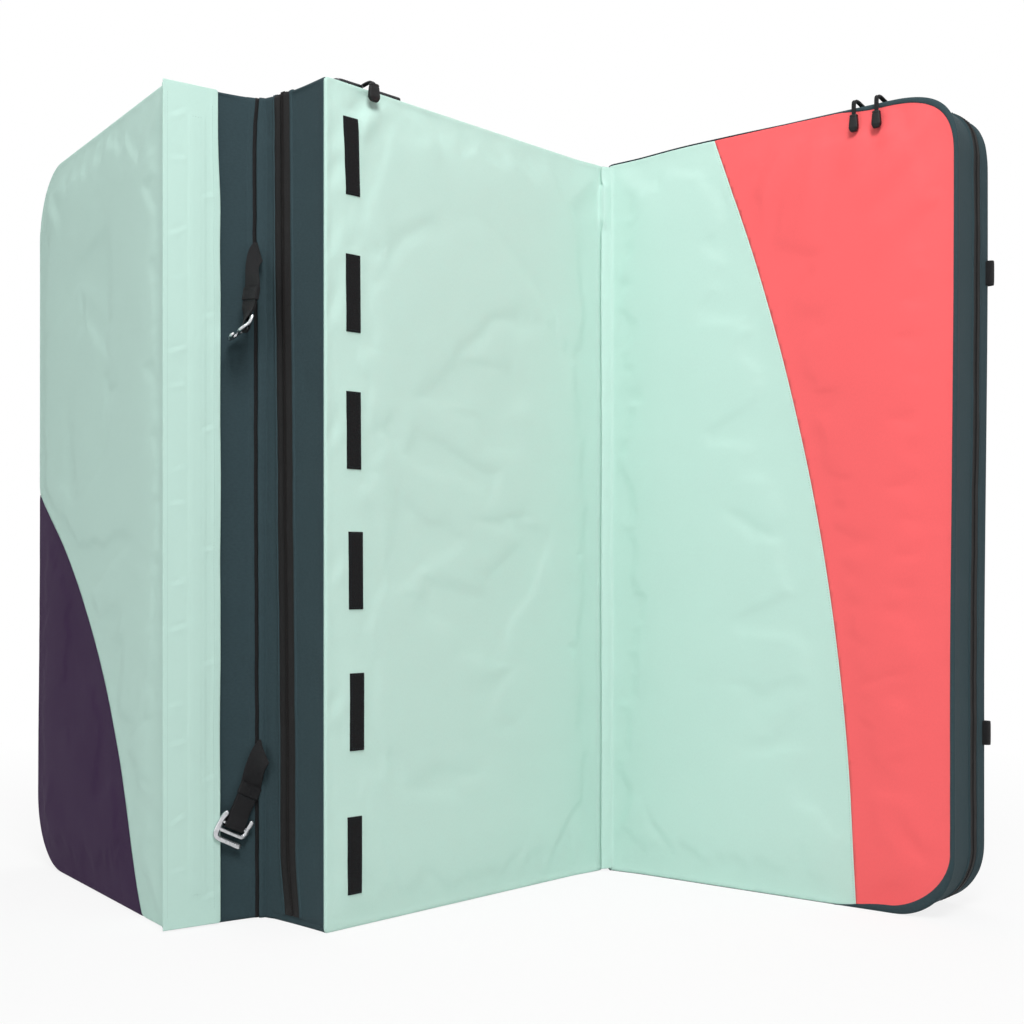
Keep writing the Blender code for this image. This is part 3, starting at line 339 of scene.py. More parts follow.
def build(name, points, faces, uvs, look, matrix, body):
    """A mesh piece from row-frame points, stood up by a matrix and riding on a body."""
    mesh = bpy.data.meshes.new(name)
    placed = [matrix @ fullness(point, matrix) for point in points]
    mesh.from_pydata(placed, [], [tuple(face) for face in faces])
    layer = mesh.uv_layers.new(name="cloth")
    loops = np.zeros(len(mesh.loops), int)
    mesh.loops.foreach_get("vertex_index", loops)
    layer.data.foreach_set("uv", np.asarray(uvs, float)[loops].astype(np.float32).ravel())
    mesh.update()
    mesh.shade_smooth()
    mesh.materials.append(LOOKS[look])
    item = bpy.data.objects.new(name, mesh)
    bpy.context.scene.collection.objects.link(item)
    if body is not None:
        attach(item, body)
    return item


def grid_faces(rows, columns, ring=False, closed=False):
    """Faces over points numbered row by row. A ring joins the last row to the first, closed each row's ends."""
    faces = []
    for row in range(rows if ring else rows - 1):
        after = (row + 1) % rows
        for k in range(columns if closed else columns - 1):
            following = (k + 1) % columns
            faces.append((row * columns + k, row * columns + following,
                          after * columns + following, after * columns + k))
    return faces


def face_outwards(item):
    """Turn the faces of a piece's closed shells outwards."""
    mesh = bmesh.new()
    mesh.from_mesh(item.data)
    bmesh.ops.recalc_face_normals(mesh, faces=mesh.faces)
    mesh.to_mesh(item.data)
    mesh.free()


def thicken(item, thickness, offset, levels=1):
    """Give a sheet its cloth thickness, after smoothing it."""
    if levels:
        smooth = item.modifiers.new("smooth", "SUBSURF")
        smooth.levels = levels
        smooth.render_levels = levels
        smooth.boundary_smooth = "PRESERVE_CORNERS"
    shell = item.modifiers.new("thickness", "SOLIDIFY")
    shell.thickness = thickness
    shell.offset = offset
    shell.use_even_offset = False


def wave(x, y, z, seed=0.0):
    """Smooth repeatable noise from -1 to 1."""
    return noise.noise(Vector((x + seed, y - 0.7 * seed, z + 1.3 * seed)))


def smoothstep(value):
    """A soft step from 0 to 1."""
    value = min(1.0, max(0.0, value))
    return value * value * (3.0 - 2.0 * value)


def squared(value, power):
    """A sine or cosine pushed outwards, for rounded boxes."""
    return math.copysign(abs(value) ** power, value)


def direction(line, index):
    """The way along a line at one of its points."""
    before, after = line[max(index - 1, 0)], line[min(index + 1, len(line) - 1)]
    return (Vector(after[:3]) - Vector(before[:3])).normalized()


def edge_distance(panel, x, z):
    """Distance in from the panel's rounded outline."""
    for corner_x, radius in ((0.0, panel.left), (WIDTH, panel.right)):
        along = radius - abs(x - corner_x)
        for corner_z in (0.0, HEIGHT):
            up = radius - abs(z - corner_z)
            if along > 0.0 and up > 0.0:
                return radius - math.hypot(along, up)
    return min(x, WIDTH - x, z, HEIGHT - z)


def crown(panel, face, x, z):
    """How far the cover lies behind its crest: falling away to its edges, less along a fold."""
    fold = panel.fold[face]
    if fold is None:
        away = 1e9
        free = edge_distance(panel, x, z)
    else:
        away = x if fold == "left" else WIDTH - x
        far_side = WIDTH - x if fold == "left" else x
        free = min(edge_distance(panel, x, z) if away > SMALL_CORNER else 1e9, far_side, z, HEIGHT - z)
        if away > CROWN_REACH:
            free = edge_distance(panel, x, z)
    share = FOLD_DROP / EDGE_DROP + (1.0 - FOLD_DROP / EDGE_DROP) * smoothstep(away / 0.06)
    falls = [EDGE_DROP * share * max(0.0, 1.0 - free / CROWN_REACH) ** 2]
    falls.append(FOLD_DROP * max(0.0, 1.0 - away / CROWN_REACH) ** 2)
    return max(falls)


def edge_roll(distance):
    """The last few millimetres, where the cloth turns over the foam's edge."""
    if distance >= EDGE_ROUND:
        return 0.0
    reach = EDGE_ROUND - max(distance, 0.0)
    return EDGE_ROUND - math.sqrt(max(EDGE_ROUND ** 2 - reach ** 2, 0.0))


def crease(x, z, line):
    """One long soft fold: a ridge with a valley beside it, fading at both ends."""
    x0, z0, x1, z1, width, height = line
    along = Vector((x1 - x0, z1 - z0))
    length = along.length
    along /= length
    t = ((x - x0) * along.x + (z - z0) * along.y) / length
    if not -0.05 < t < 1.05:
        return 0.0
    side = (x - x0) * -along.y + (z - z0) * along.x
    bend = 0.25 * width * math.sin(5.0 * t + 20.0 * x0)
    side += bend
    fade = math.sin(math.pi * min(1.0, max(0.0, t))) ** 0.8
    ridge = math.exp(-(side / width) ** 2) - 0.65 * math.exp(-((side - 1.7 * width) / width) ** 2)
    return height * fade * ridge


def puckers(x, z, seed):
    """Small gathers that start at the seams and fade inwards."""
    total = 0.0
    sides = ((z, x, 1.0), (HEIGHT - z, x, 1.6), (x, z, 1.0), (WIDTH - x, z, 1.0))
    for number, (away, along, strength) in enumerate(sides):
        if away > 0.09:
            continue
        gather = wave(along * 38.0, away * 7.0, number, seed) + 0.5 * wave(along * 90.0, away * 14.0, number + 5, seed)
        total += strength * gather * math.exp(-away / 0.022) * smoothstep(away / 0.004)
    return 0.0009 * total


CREASES = {
    ("middle", "front"): (
        (0.012, 0.905, 0.085, 0.985, 0.007, 0.0022),
        (0.008, 0.860, 0.060, 0.930, 0.006, 0.0018),
        (0.030, 0.930, 0.110, 0.992, 0.008, 0.0016),
        (0.008, 0.780, 0.034, 0.835, 0.006, 0.0013),
        (0.006, 0.700, 0.045, 0.765, 0.006, 0.0013),
        (0.006, 0.560, 0.040, 0.610, 0.005, 0.0012),
        (0.006, 0.400, 0.038, 0.440, 0.005, 0.0010),
        (0.006, 0.240, 0.040, 0.285, 0.005, 0.0012),
        (0.010, 0.070, 0.070, 0.020, 0.007, 0.0014),
        (0.130, 0.990, 0.185, 0.930, 0.010, 0.0012),
        (0.300, 0.992, 0.330, 0.930, 0.010, 0.0008),
        (0.480, 0.985, 0.420, 0.930, 0.010, 0.0007),
        (0.480, 0.030, 0.430, 0.080, 0.009, 0.0009),
    ),
    ("inner", "front"): (
        (0.290, 0.992, 0.230, 0.860, 0.009, 0.0014),
        (0.345, 0.992, 0.290, 0.850, 0.010, 0.0017),
        (0.390, 0.992, 0.365, 0.915, 0.009, 0.0019),
        (0.420, 0.992, 0.410, 0.940, 0.008, 0.0020),
        (0.462, 0.985, 0.385, 0.865, 0.010, 0.0024),
        (0.480, 0.930, 0.400, 0.800, 0.010, 0.0014),
        (0.240, 0.992, 0.205, 0.905, 0.008, 0.0010),
        (0.020, 0.985, 0.070, 0.930, 0.009, 0.0008),
        (0.010, 0.050, 0.060, 0.110, 0.007, 0.0012),
        (0.480, 0.080, 0.430, 0.150, 0.008, 0.0012),
    ),
    ("outer", "front"): (
        (0.040, 0.960, 0.110, 0.890, 0.009, 0.0012),
        (0.490, 0.990, 0.440, 0.930, 0.008, 0.0010),
        (0.030, 0.060, 0.090, 0.130, 0.009, 0.0012),
        (0.490, 0.020, 0.430, 0.080, 0.008, 0.0010),
    ),
}


PATCH_HALF_WIDTH, PATCH_HALF_HEIGHT = 0.0104, 0.046
PATCH_PLACES = ((0.0418, 0.0865), (0.0450, 0.2560), (0.0432, 0.4232),
                (0.0403, 0.5888), (0.0396, 0.7506), (0.0376, 0.9120))
PATCH_SLANT = (0.0, 0.0, 0.0003, 0.0004, 0.0004, 0.0018)


def patch_hold(panel, face, x, z):
    """How firmly a sewn loop patch holds the cloth flat at a place, from 0 to 1."""
    if panel.name != "middle" or face != "front":
        return 0.0
    centre_x, centre_z = min(PATCH_PLACES, key=lambda place: abs(z - place[1]))
    beyond_x = abs(x - centre_x) - PATCH_HALF_WIDTH
    beyond_z = abs(z - centre_z) - PATCH_HALF_HEIGHT
    return 1.0 - smoothstep(math.hypot(max(beyond_x, 0.0), max(beyond_z, 0.0)) / 0.008)


def relief(panel, face, x, z):
    """Everything that keeps the cloth from being smooth, as height outwards."""
    seed = COVER_SEEDS[panel.name] + (0.0 if face == "front" else BACK_SEED)
    height = 0.0009 * wave(x * 6.0, z * 5.0, 0.2, seed) + 0.00035 * wave(x * 17.0, z * 15.0, 1.1, seed)
    height += puckers(x, z, seed)
    for x0, z0, x1, z1, width, rise in CREASES.get((panel.name, face), ()):
        height += crease(x, z, (x0, z0, x1, z1, FOLD_WIDTH * width, FOLD_STRENGTH * rise))
    return height * (1.0 - 0.85 * patch_hold(panel, face, x, z))


def axis_points(length, cell):
    """Grid lines along one side, close together at the edges."""
    near = [0.0, 0.0009, 0.0020, 0.0034, 0.0060, 0.0095, 0.0140]
    count = max(2, round((length - 2 * near[-1]) / cell))
    middle = [near[-1] + (length - 2 * near[-1]) * k / count for k in range(1, count)]
    return np.array(near + middle + [length - value for value in reversed(near)])


def round_corner(panel, x, z):
    """Move a point of the square grid so that the grid's corner follows the round one."""
    for corner_x, radius in ((0.0, panel.left), (WIDTH, panel.right)):
        for corner_z in (0.0, HEIGHT):
            a = (radius - abs(x - corner_x)) / radius
            b = (radius - abs(z - corner_z)) / radius
            if a > 0.0 and b > 0.0:
                sign_x = 1.0 if corner_x == 0.0 else -1.0
                sign_z = 1.0 if corner_z == 0.0 else -1.0
                out_a = a * math.sqrt(1.0 - b * b / 2.0)
                out_b = b * math.sqrt(1.0 - a * a / 2.0)
                return corner_x + sign_x * radius * (1.0 - out_a), corner_z + sign_z * radius * (1.0 - out_b)
    return x, z


def sheet_grid(panel, cell, circle=None):
    """Points, faces and, with a circle, which side of it each face lies on."""
    xs, zs = axis_points(WIDTH, cell), axis_points(HEIGHT, cell)
    points = np.array([round_corner(panel, x, z) for z in zs for x in xs])
    columns = len(xs)
    side = np.zeros(len(points))
    if circle is not None:
        centre, radius = np.array(circle[0]), circle[1]
        side = np.hypot(*(points - centre).T) - radius
        snap = np.zeros(len(points), bool)
        for row in range(len(zs)):
            for column in range(columns):
                here = row * columns + column
                for there in (here + 1 if column + 1 < columns else -1, here + columns if row + 1 < len(zs) else -1):
                    if there >= 0 and side[here] * side[there] < 0.0:
                        snap[here if abs(side[here]) <= abs(side[there]) else there] = True
        away = points[snap] - centre
        on_circle = centre + away / np.hypot(*away.T)[:, None] * radius
        edge = np.array([edge_distance(panel, x, z) < 0.0005 for x, z in points[snap]])
        for index, (target, at_edge) in zip(np.flatnonzero(snap), zip(on_circle, edge)):
            x, z = points[index]
            if at_edge and min(z, HEIGHT - z) < 0.0005:
                target = (centre[0] + math.sqrt(radius ** 2 - (z - centre[1]) ** 2), z)
            elif at_edge:
                target = (x, centre[1] + math.sqrt(max(radius ** 2 - (x - centre[0]) ** 2, 0.0)))
            points[index] = target
        side[snap] = 0.0
    faces, inside = [], []
    for row in range(len(zs) - 1):
        for column in range(columns - 1):
            a = row * columns + column
            quad = (a, a + 1, a + 1 + columns, a + columns)
            signs = [np.sign(side[k]) if abs(side[k]) > 1e-9 else 0.0 for k in quad]
            if circle is None or not (1.0 in signs and -1.0 in signs):
                faces.append(quad)
                inside.append(sum(signs) < 0.0)
                continue
            cuts = ((0, 1, 2), (0, 2, 3)) if signs[0] == 0.0 and signs[2] == 0.0 else ((0, 1, 3), (1, 2, 3))
            for cut in cuts:
                faces.append(tuple(quad[k] for k in cut))
                inside.append(sum(signs[k] for k in cut) < 0.0)
    return points, faces, np.array(inside), side


def settle(places, faces, held):
    """Let a sheet of cover cloth billow and gather between its seams, and give its new places."""
    places = np.array(places)
    scene = bpy.context.scene
    mesh = bpy.data.meshes.new("settling")
    mesh.from_pydata([tuple(p) for p in places], [], faces)
    item = bpy.data.objects.new("settling", mesh)
    scene.collection.objects.link(item)
    group = item.vertex_groups.new(name="seams")
    for index, weight in enumerate(held):
        if weight > 0.0:
            group.add([index], float(weight), "REPLACE")
    cloth_modifier = item.modifiers.new("cloth", "CLOTH")
    settings = cloth_modifier.settings
    settings.vertex_group_mass = "seams"
    settings.quality = 5
    settings.mass = 0.3
    settings.tension_stiffness = 12.0
    settings.compression_stiffness = 12.0
    settings.shear_stiffness = 6.0
    settings.bending_stiffness = 0.25
    settings.shrink_min = CLOTH_EASE
    settings.use_pressure = True
    settings.uniform_pressure_force = PRESSURE
    settings.effector_weights.gravity = 0.0
    cloth_modifier.point_cache.frame_start = 1
    cloth_modifier.point_cache.frame_end = SIM_FRAMES
    for number in range(1, SIM_FRAMES + 1):
        scene.frame_set(number)
    settled = item.evaluated_get(bpy.context.evaluated_depsgraph_get())
    after = np.zeros(len(places) * 3, np.float32)
    settled.data.vertices.foreach_get("co", after)
    scene.frame_set(1)
    bpy.data.objects.remove(item)
    travel = after.reshape(-1, 3) - places
    travel[:, 1] -= travel[:, 1].mean()
    limit = np.array([TRAVEL_ACROSS, TRAVEL_OUT, TRAVEL_ACROSS])
    free = 1.0 - np.clip(np.array(held)[:, None], 0.0, 1.0)
    return places + limit * np.tanh(travel / limit) * free


class Surface:
    """A finished cover sheet, asked for its depth at a place on the panel."""

    def __init__(self, panel, face, places, faces):
        self.panel = panel
        self.out = -1.0 if face == "front" else 1.0
        self.tree = BVHTree.FromPolygons([tuple(p) for p in places], [tuple(f) for f in faces])

    def at(self, x, z, lift=0.0):
        """The row-frame point a lift off the cloth."""
        start = Vector((self.panel.start + x, self.out, z))
        hit = self.tree.ray_cast(start, Vector((0.0, -self.out, 0.0)))[0]
        y = hit.y if hit is not None else (0.0 if self.out < 0 else DEPTH)
        return Vector((self.panel.start + x, y + self.out * lift, z))


def cover_points(panel, face, points, side, circle, faces):
    """Row-frame points of a cover sheet, with its crown, rolled edge, folds and seam grooves."""
    placed, held = [], []
    for (x, z), offset in zip(points, side):
        away = edge_distance(panel, x, z)
        height = relief(panel, face, x, z) * smoothstep(away / 0.012 + 0.15)
        back = crown(panel, face, x, z) + edge_roll(away) - height
        if circle is not None and abs(offset) < 0.0008:
            back += SEAM_GROOVE
        y = back if face == "front" else DEPTH - back
        tuck = SEAM_GROOVE * max(0.0, 1.0 - away / 0.0012)
        inward_x = tuck * (1.0 if x < WIDTH / 2 else -1.0) if min(x, WIDTH - x) < 0.003 else 0.0
        inward_z = tuck * (1.0 if z < HEIGHT / 2 else -1.0) if HEIGHT - z < 0.003 else 0.0
        placed.append((panel.start + x + inward_x, y, z + inward_z))
        sewn = 1.0 - smoothstep((away - 0.003) / 0.010)
        if circle is not None:
            sewn = max(sewn, 1.0 - smoothstep(abs(offset) / 0.012))
        held.append(max(sewn, patch_hold(panel, face, x, z)))
    return settle(placed, faces, held)


def pick(points, faces, uvs):
    """Keep only the points that some faces use."""
    used = sorted({k for face in faces for k in face})
    number = {old: new for new, old in enumerate(used)}
    return [points[k] for k in used], [tuple(number[k] for k in face) for face in faces], [uvs[k] for k in used]


def cover(panel, face, names, looks, replaced, circle=None):
    """A landing or ground sheet, in one piece or in two that are sewn along a circle."""
    cell = CELL if face == "front" else 2 * CELL
    points, faces, inside, side = sheet_grid(panel, cell, circle)
    if face == "back":
        faces = [tuple(reversed(f)) for f in faces]
    placed = cover_points(panel, face, points, side, circle, faces)
    uvs = [(x, z) for x, z in points]
    for name, look, nodes, wanted in zip(names, looks, replaced, (True, False)):
        chosen = [f for f, within in zip(faces, inside) if circle is None or bool(within) is wanted]
        item = build(name, *pick(placed, chosen, uvs), look, STAND[panel.name], panel.body)
        thicken(item, COVER_CLOTH, -1.0)
        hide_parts(*nodes)
    return Surface(panel, face, placed, faces)


class Perimeter:
    """The panel's outline as one counter-clockwise line, measured from its lower left corner."""

    def __init__(self, panel, step):
        self.panel = panel
        places, normals = [], []
        corners = ((0.0, 0.0, panel.left, 180), (WIDTH, 0.0, panel.right, 270),
                   (WIDTH, HEIGHT, panel.right, 0), (0.0, HEIGHT, panel.left, 90))
        for number, (corner_x, corner_z, radius, first) in enumerate(corners):
            centre_x = corner_x + (radius if corner_x == 0.0 else -radius)
            centre_z = corner_z + (radius if corner_z == 0.0 else -radius)
            turns = max(4, round(radius * math.pi / 2 / step))
            for turn in range(turns + 1):
                angle = math.radians(first + 90.0 * turn / turns)
                normal = (math.cos(angle), math.sin(angle))
                places.append((centre_x + radius * normal[0], centre_z + radius * normal[1]))
                normals.append(normal)
            following = corners[(number + 1) % 4]
            next_radius = following[2]
            end = (following[0] + (next_radius if number == 2 else -next_radius if number == 0 else 0.0),
                   following[1] + (-next_radius if number == 1 else next_radius if number == 3 else 0.0))
            start = places[-1]
            length = math.dist(start, end)
            pieces = max(2, round(length / step))
            normal = normals[-1]
            for piece in range(1, pieces):
                share = piece / pieces
                places.append((start[0] + (end[0] - start[0]) * share, start[1] + (end[1] - start[1]) * share))
                normals.append(normal)
        self.places = np.array(places)
        self.normals = np.array(normals)
        closed = np.vstack([self.places, self.places[:1]])
        self.arc = np.concatenate([[0.0], np.cumsum(np.hypot(*np.diff(closed, axis=0).T))])
        self.length = self.arc[-1]

    def at(self, distance):
        """Place and outward normal at a distance round the outline."""
        distance = distance % self.length
        closed = np.vstack([self.places, self.places[:1]])
        turned = np.vstack([self.normals, self.normals[:1]])
        place = [np.interp(distance, self.arc, closed[:, k]) for k in (0, 1)]
        normal = [np.interp(distance, self.arc, turned[:, k]) for k in (0, 1)]
        size = math.hypot(*normal)
        return place, [n / size for n in normal]

    def nearest(self, x, z):
        """Distance round the outline of the point nearest to a place."""
        return float(self.arc[:-1][np.argmin(np.hypot(self.places[:, 0] - x, self.places[:, 1] - z))])


def wall_inset(y, up):
    """How far a wall is drawn in by its seams: the top wall least."""
    draw = WALL_DRAW - (WALL_DRAW - TOP_WALL_DRAW) * max(0.0, up)
    return draw * math.sin(math.pi * min(DEPTH, max(0.0, y)) / DEPTH)


def wall_relief(panel, s, y, normal):
    """Soft waves and gathers of the side band."""
    seed = BAND_SEEDS[panel.name]
    near_seam = math.exp(-min(y - 0.008, DEPTH - 0.008 - y) / 0.014) if 0.008 < y < DEPTH - 0.008 else 1.0
    height = 0.0008 * wave(s * 9.0, y * 12.0, 0.0, seed)
    height += 0.0006 * wave(s * 30.0, y * 16.0, 2.0, seed)
    height += 0.0008 * near_seam * wave(s * 55.0, y * 25.0, 4.0, seed)
    slanted = wave((s + 0.9 * y) * 16.0, (y - 0.4 * s) * 5.0, 6.0, seed)
    height += 0.0011 * max(0.0, slanted) ** 1.5
    return height * (0.15 if normal[1] < -0.7 else 1.0)


def wall_point(panel, place, normal, y, lift, s):
    """A row-frame point on the side band, a lift off its surface."""
    inset = wall_inset(y, normal[1]) - wall_relief(panel, s, y, normal) - lift
    x = panel.start + place[0] - inset * normal[0]
    z = place[1] - (inset if normal[1] > 0.0 else max(-lift, 0.0)) * normal[1]
    return x, y, max(z, 0.0)


def turned_width(x, z):
    """How far the inner panel's side band turns over on to the landing face."""
    if x < 0.004:
        return 0.0008
    along, half_turn = x - WIDTH + FULL_CORNER, math.pi / 2
    if along > 0.0 and z > HEIGHT - FULL_CORNER:
        turn = math.atan2(along, z - HEIGHT + FULL_CORNER)
        return 0.0070 - 0.0026 * smoothstep((turn - 0.5) / 0.9)
    if along > 0.0 and z < FULL_CORNER:
        turn = math.atan2(along, FULL_CORNER - z)
        return 0.0105 - 0.0061 * smoothstep(turn / half_turn) + 0.0050 * math.sin(2.0 * turn)
    if z > HEIGHT - 0.001:
        return 0.0002 + 0.0018 * smoothstep((x - 0.18) / 0.15) + 0.0050 * smoothstep((x - 0.345) / 0.05)
    if z < 0.001:
        return 0.0002 + 0.0103 * smoothstep((x - 0.33) / 0.09)
    return 0.0044


def turned_edge(panel, surface, x, z, normal, s, front):
    """The band's row points on the landing face, from its cut edge out to the panel's edge."""
    width = turned_width(x, z)
    row = []
    for share, lift in ((1.0, -0.0004), (0.96, 0.0006), (0.75, 0.0008), (0.45, 0.0008), (0.2, 0.0008)):
        inward = width * share
        a, b = x - inward * normal[0], z - inward * normal[1]
        on = surface.at(a, b).y if inward > 0.0020 else crown(panel, "front", x, z) + edge_roll(inward)
        row.append(((panel.start + a, on - lift, max(b, 0.0)), (s, -inward)))
    lip = 0.0005 * min(1.0, width / 0.002)
    a, b = x + lip * normal[0], z + lip * normal[1]
    row.append(((panel.start + a, front - 0.0017, max(b, 0.0)), (s, lip)))
    return row


BAND_NEAR, BAND_ROWS = (0.0, 0.0012, 0.0035, 0.008), 13


def side_band(panel, surface):
    """The band round the panel's edges, sewn to both sheets in a groove."""
    outline = Perimeter(panel, OUTLINE_STEP)
    rows = []
    stations = list(zip(outline.places, outline.normals, outline.arc[:-1]))
    for place, normal, s in stations:
        x, z = place
        front = crown(panel, "front", x, z) + EDGE_ROUND
        back = DEPTH - crown(panel, "back", x, z) - EDGE_ROUND
        depths = [front + n for n in BAND_NEAR]
        low, high = front + BAND_NEAR[-1], back - BAND_NEAR[-1]
        depths += [low + (high - low) * k / BAND_ROWS for k in range(1, BAND_ROWS)]
        depths += [back - n for n in reversed(BAND_NEAR)]
        tucks = [SEAM_GROOVE, 0.0004, 0.0, 0.0] + [0.0] * (BAND_ROWS - 1) + [0.0, 0.0, 0.0004, SEAM_GROOVE]
        row = []
        if panel is INNER:
            row += turned_edge(panel, surface, x, z, normal, s, front)
            lip = min(1.0, turned_width(x, z) / 0.002)
            tucks[:2] = [-0.0005 * lip, -0.0003 * lip]
        for y, tuck in zip(depths, tucks):
            ease = smoothstep(min(y - front, back - y) / 0.008)
            point = wall_point(panel, place, normal, y, 0.0, s)
            plain = (panel.start + x, y, z)
            held = [p * (1 - ease) + q * ease for p, q in zip(plain, point)]
            held[0] -= tuck * normal[0]
            held[2] -= tuck * max(normal[1], 0.0)
            row.append((tuple(held), (s, y)))
        rows.append(row)
    points = [p for row in rows for p, _ in row]
    uvs = [uv for row in rows for _, uv in row]
    faces = grid_faces(len(rows), len(rows[0]), ring=True)
    item = build(f"{panel.name}_side_band_cloth", points, faces, uvs, "slate", STAND[panel.name], panel.body)
    thicken(item, COVER_CLOTH, -1.0)
    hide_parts(f"{panel.name}_panel_side_band")
    return item


# Camera, light and floor

CAMERA_PLACE, SENSOR = (0.0846, -1.8433, 0.4128), 36.0
FOCAL_PIXELS, SHIFT_PIXELS, PICTURE_PIXELS = 1397.9, 67.4, 1024
LAMPS = (
    ("key", (0.32, -2.05, 2.95), (0.05, 0.0, 0.75), 1.2, 77.0),
    ("fill", (-2.6, -2.4, 1.9), (-0.1, 0.0, 0.7), 1.8, 14.5),
    ("back", (0.6, 2.8, 2.4), (0.0, 0.0, 0.5), 2.0, 34.0),
)


def studio():
    """The photograph's camera, three soft lamps and a white floor that glows to the camera only."""
    scene = bpy.context.scene
    scene.view_settings.view_transform = "Standard"
    camera_data = bpy.data.cameras.new("camera")
    camera = bpy.data.objects.new("camera", camera_data)
    scene.collection.objects.link(camera)
    camera.location = CAMERA_PLACE
    camera.rotation_euler = (math.radians(90), 0.0, 0.0)
    camera_data.sensor_width = SENSOR
    camera_data.lens = SENSOR * FOCAL_PIXELS / PICTURE_PIXELS
    camera_data.shift_y = SHIFT_PIXELS / PICTURE_PIXELS
    camera_data.clip_start = 0.01
    scene.camera = camera

    world = bpy.data.worlds.new("studio")
    scene.world = world
    world.use_nodes = True
    tree = world.node_tree
    background = tree.nodes["Background"]
    background.inputs["Color"].default_value = (1.0, 1.0, 1.0, 1.0)
    path = add(tree, "ShaderNodeLightPath")
    seen = math_node(tree, "MAXIMUM", path.outputs["Is Camera Ray"], path.outputs["Is Glossy Ray"])
    seen = math_node(tree, "MAXIMUM", seen, path.outputs["Is Transmission Ray"])
    tree.links.new(ramp(tree, seen, 0.0, 1.0, 0.36, 1.0), background.inputs["Strength"])

    for name, place, aim, size, power in LAMPS:
        light = bpy.data.lights.new(name, "AREA")
        light.shape = "SQUARE"
        light.size = size
        light.energy = power
        lamp = bpy.data.objects.new(name, light)
        scene.collection.objects.link(lamp)
        lamp.location = place
        lamp.rotation_euler = (Vector(aim) - Vector(place)).to_track_quat("-Z", "Y").to_euler()

    mesh = bpy.data.meshes.new("floor")
    mesh.from_pydata([(-30, -30, 0), (30, -30, 0), (30, 30, 0), (-30, 30, 0)], [], [(0, 1, 2, 3)])
    floor = bpy.data.objects.new("floor", mesh)
    scene.collection.objects.link(floor)
    material, tree, shader = nodes_of("pale_floor")
    shader.inputs["Base Color"].default_value = (0.80, 0.80, 0.80, 1.0)
    shader.inputs["Roughness"].default_value = 0.9
    glow = add(tree, "ShaderNodeEmission")
    glow.inputs["Color"].default_value = (1.0, 1.0, 1.0, 1.0)
    mixer = add(tree, "ShaderNodeMixShader")
    path = add(tree, "ShaderNodeLightPath")
    seen = math_node(tree, "MAXIMUM", path.outputs["Is Camera Ray"], path.outputs["Is Glossy Ray"])
    distance = add(tree, "ShaderNodeVectorMath", operation="LENGTH")
    tree.links.new(add(tree, "ShaderNodeTexCoord").outputs["Object"], distance.inputs[0])
    faded = ramp(tree, distance.outputs["Value"], 0.6, 2.0, 0.84, 1.0)
    tree.links.new(math_node(tree, "MULTIPLY", seen, faded), mixer.inputs[0])
    tree.links.new(shader.outputs[0], mixer.inputs[1])
    tree.links.new(glow.outputs[0], mixer.inputs[2])
    tree.links.new(mixer.outputs[0], tree.nodes["Material Output"].inputs["Surface"])
    mesh.materials.append(material)


# Lines, bands and stitches

def smooth_line(rows, step):
    """Close points on a smooth curve through given rows, each a place and what goes with it."""
    rows = [np.array(row, float) for row in rows]
    rows = [2 * rows[0] - rows[1]] + rows + [2 * rows[-1] - rows[-2]]
    knots = [0.0]
    for before, after in zip(rows, rows[1:]):
        knots.append(knots[-1] + max(np.linalg.norm((after - before)[:3]), 1e-6) ** 0.5)
    line = []
    for k in range(1, len(rows) - 2):
        t0, t1, t2, t3 = knots[k - 1:k + 3]
        p0, p1, p2, p3 = rows[k - 1:k + 3]
        count = max(1, round(np.linalg.norm((p2 - p1)[:3]) / step))
        for n in range(count):
            t = t1 + (t2 - t1) * n / count
            a1 = (t1 - t) / (t1 - t0) * p0 + (t - t0) / (t1 - t0) * p1
            a2 = (t2 - t) / (t2 - t1) * p1 + (t - t1) / (t2 - t1) * p2
            a3 = (t3 - t) / (t3 - t2) * p2 + (t - t2) / (t3 - t2) * p3
            b1 = (t2 - t) / (t2 - t0) * a1 + (t - t0) / (t2 - t0) * a2
            b2 = (t3 - t) / (t3 - t1) * a2 + (t - t1) / (t3 - t1) * a3
            line.append((t2 - t) / (t2 - t1) * b1 + (t - t1) / (t2 - t1) * b2)
    line.append(rows[-2])
    return line


def loops_mesh(loops, ring=False):
    """Faces of a closed skin over equal loops of points: a ring, or a tube with capped ends."""
    size = len(loops[0])
    faces = grid_faces(len(loops), size, ring, closed=True)
    if not ring:
        faces.append(tuple(reversed(range(size))))
        faces.append(tuple(range((len(loops) - 1) * size, len(loops) * size)))
    return faces


def ribbon(name, stations, width, thickness, look, matrix, body, step=0.0025, ripple=0.0):
    """Flat webbing through stations, each the middle of the strap and the way across it."""
    line = smooth_line([(*centre, *across) for centre, across in stations], step)
    columns = [-1.0, -0.93, -0.75, -0.45, -0.15, 0.15, 0.45, 0.75, 0.93, 1.0]
    points, uvs, loops = [], [], []
    run = 0.0
    for index, row in enumerate(line):
        centre, along, across = Vector(row[:3]), direction(line, index), Vector(row[3:])
        across = (across - along * across.dot(along)).normalized()
        facing = along.cross(across).normalized()
        run += (centre - Vector(line[index - 1][:3])).length if index else 0.0
        loop = []
        for sign, ordered in ((-1.0, columns), (1.0, list(reversed(columns)))):
            for u in ordered:
                half = thickness / 2 * (1.0 - 0.55 * abs(u) ** 8)
                cup = ripple * wave(run * 30.0, u, 0.3) * abs(u)
                place = centre + across * (u * width / 2) + facing * (sign * half + cup)
                loop.append(place)
                uvs.append((u * width / 2 + (0.0 if sign < 0 else 0.1), run))
        loops.append(loop)
        points += loop
    return build(name, points, loops_mesh(loops), uvs, look, matrix, body)


STITCH_LENGTH, STITCH_PITCH, STITCH_THICK = 0.0024, 0.0034, 0.00032
BOX_PITCH, BOX_MARGIN = 0.0028, 0.003


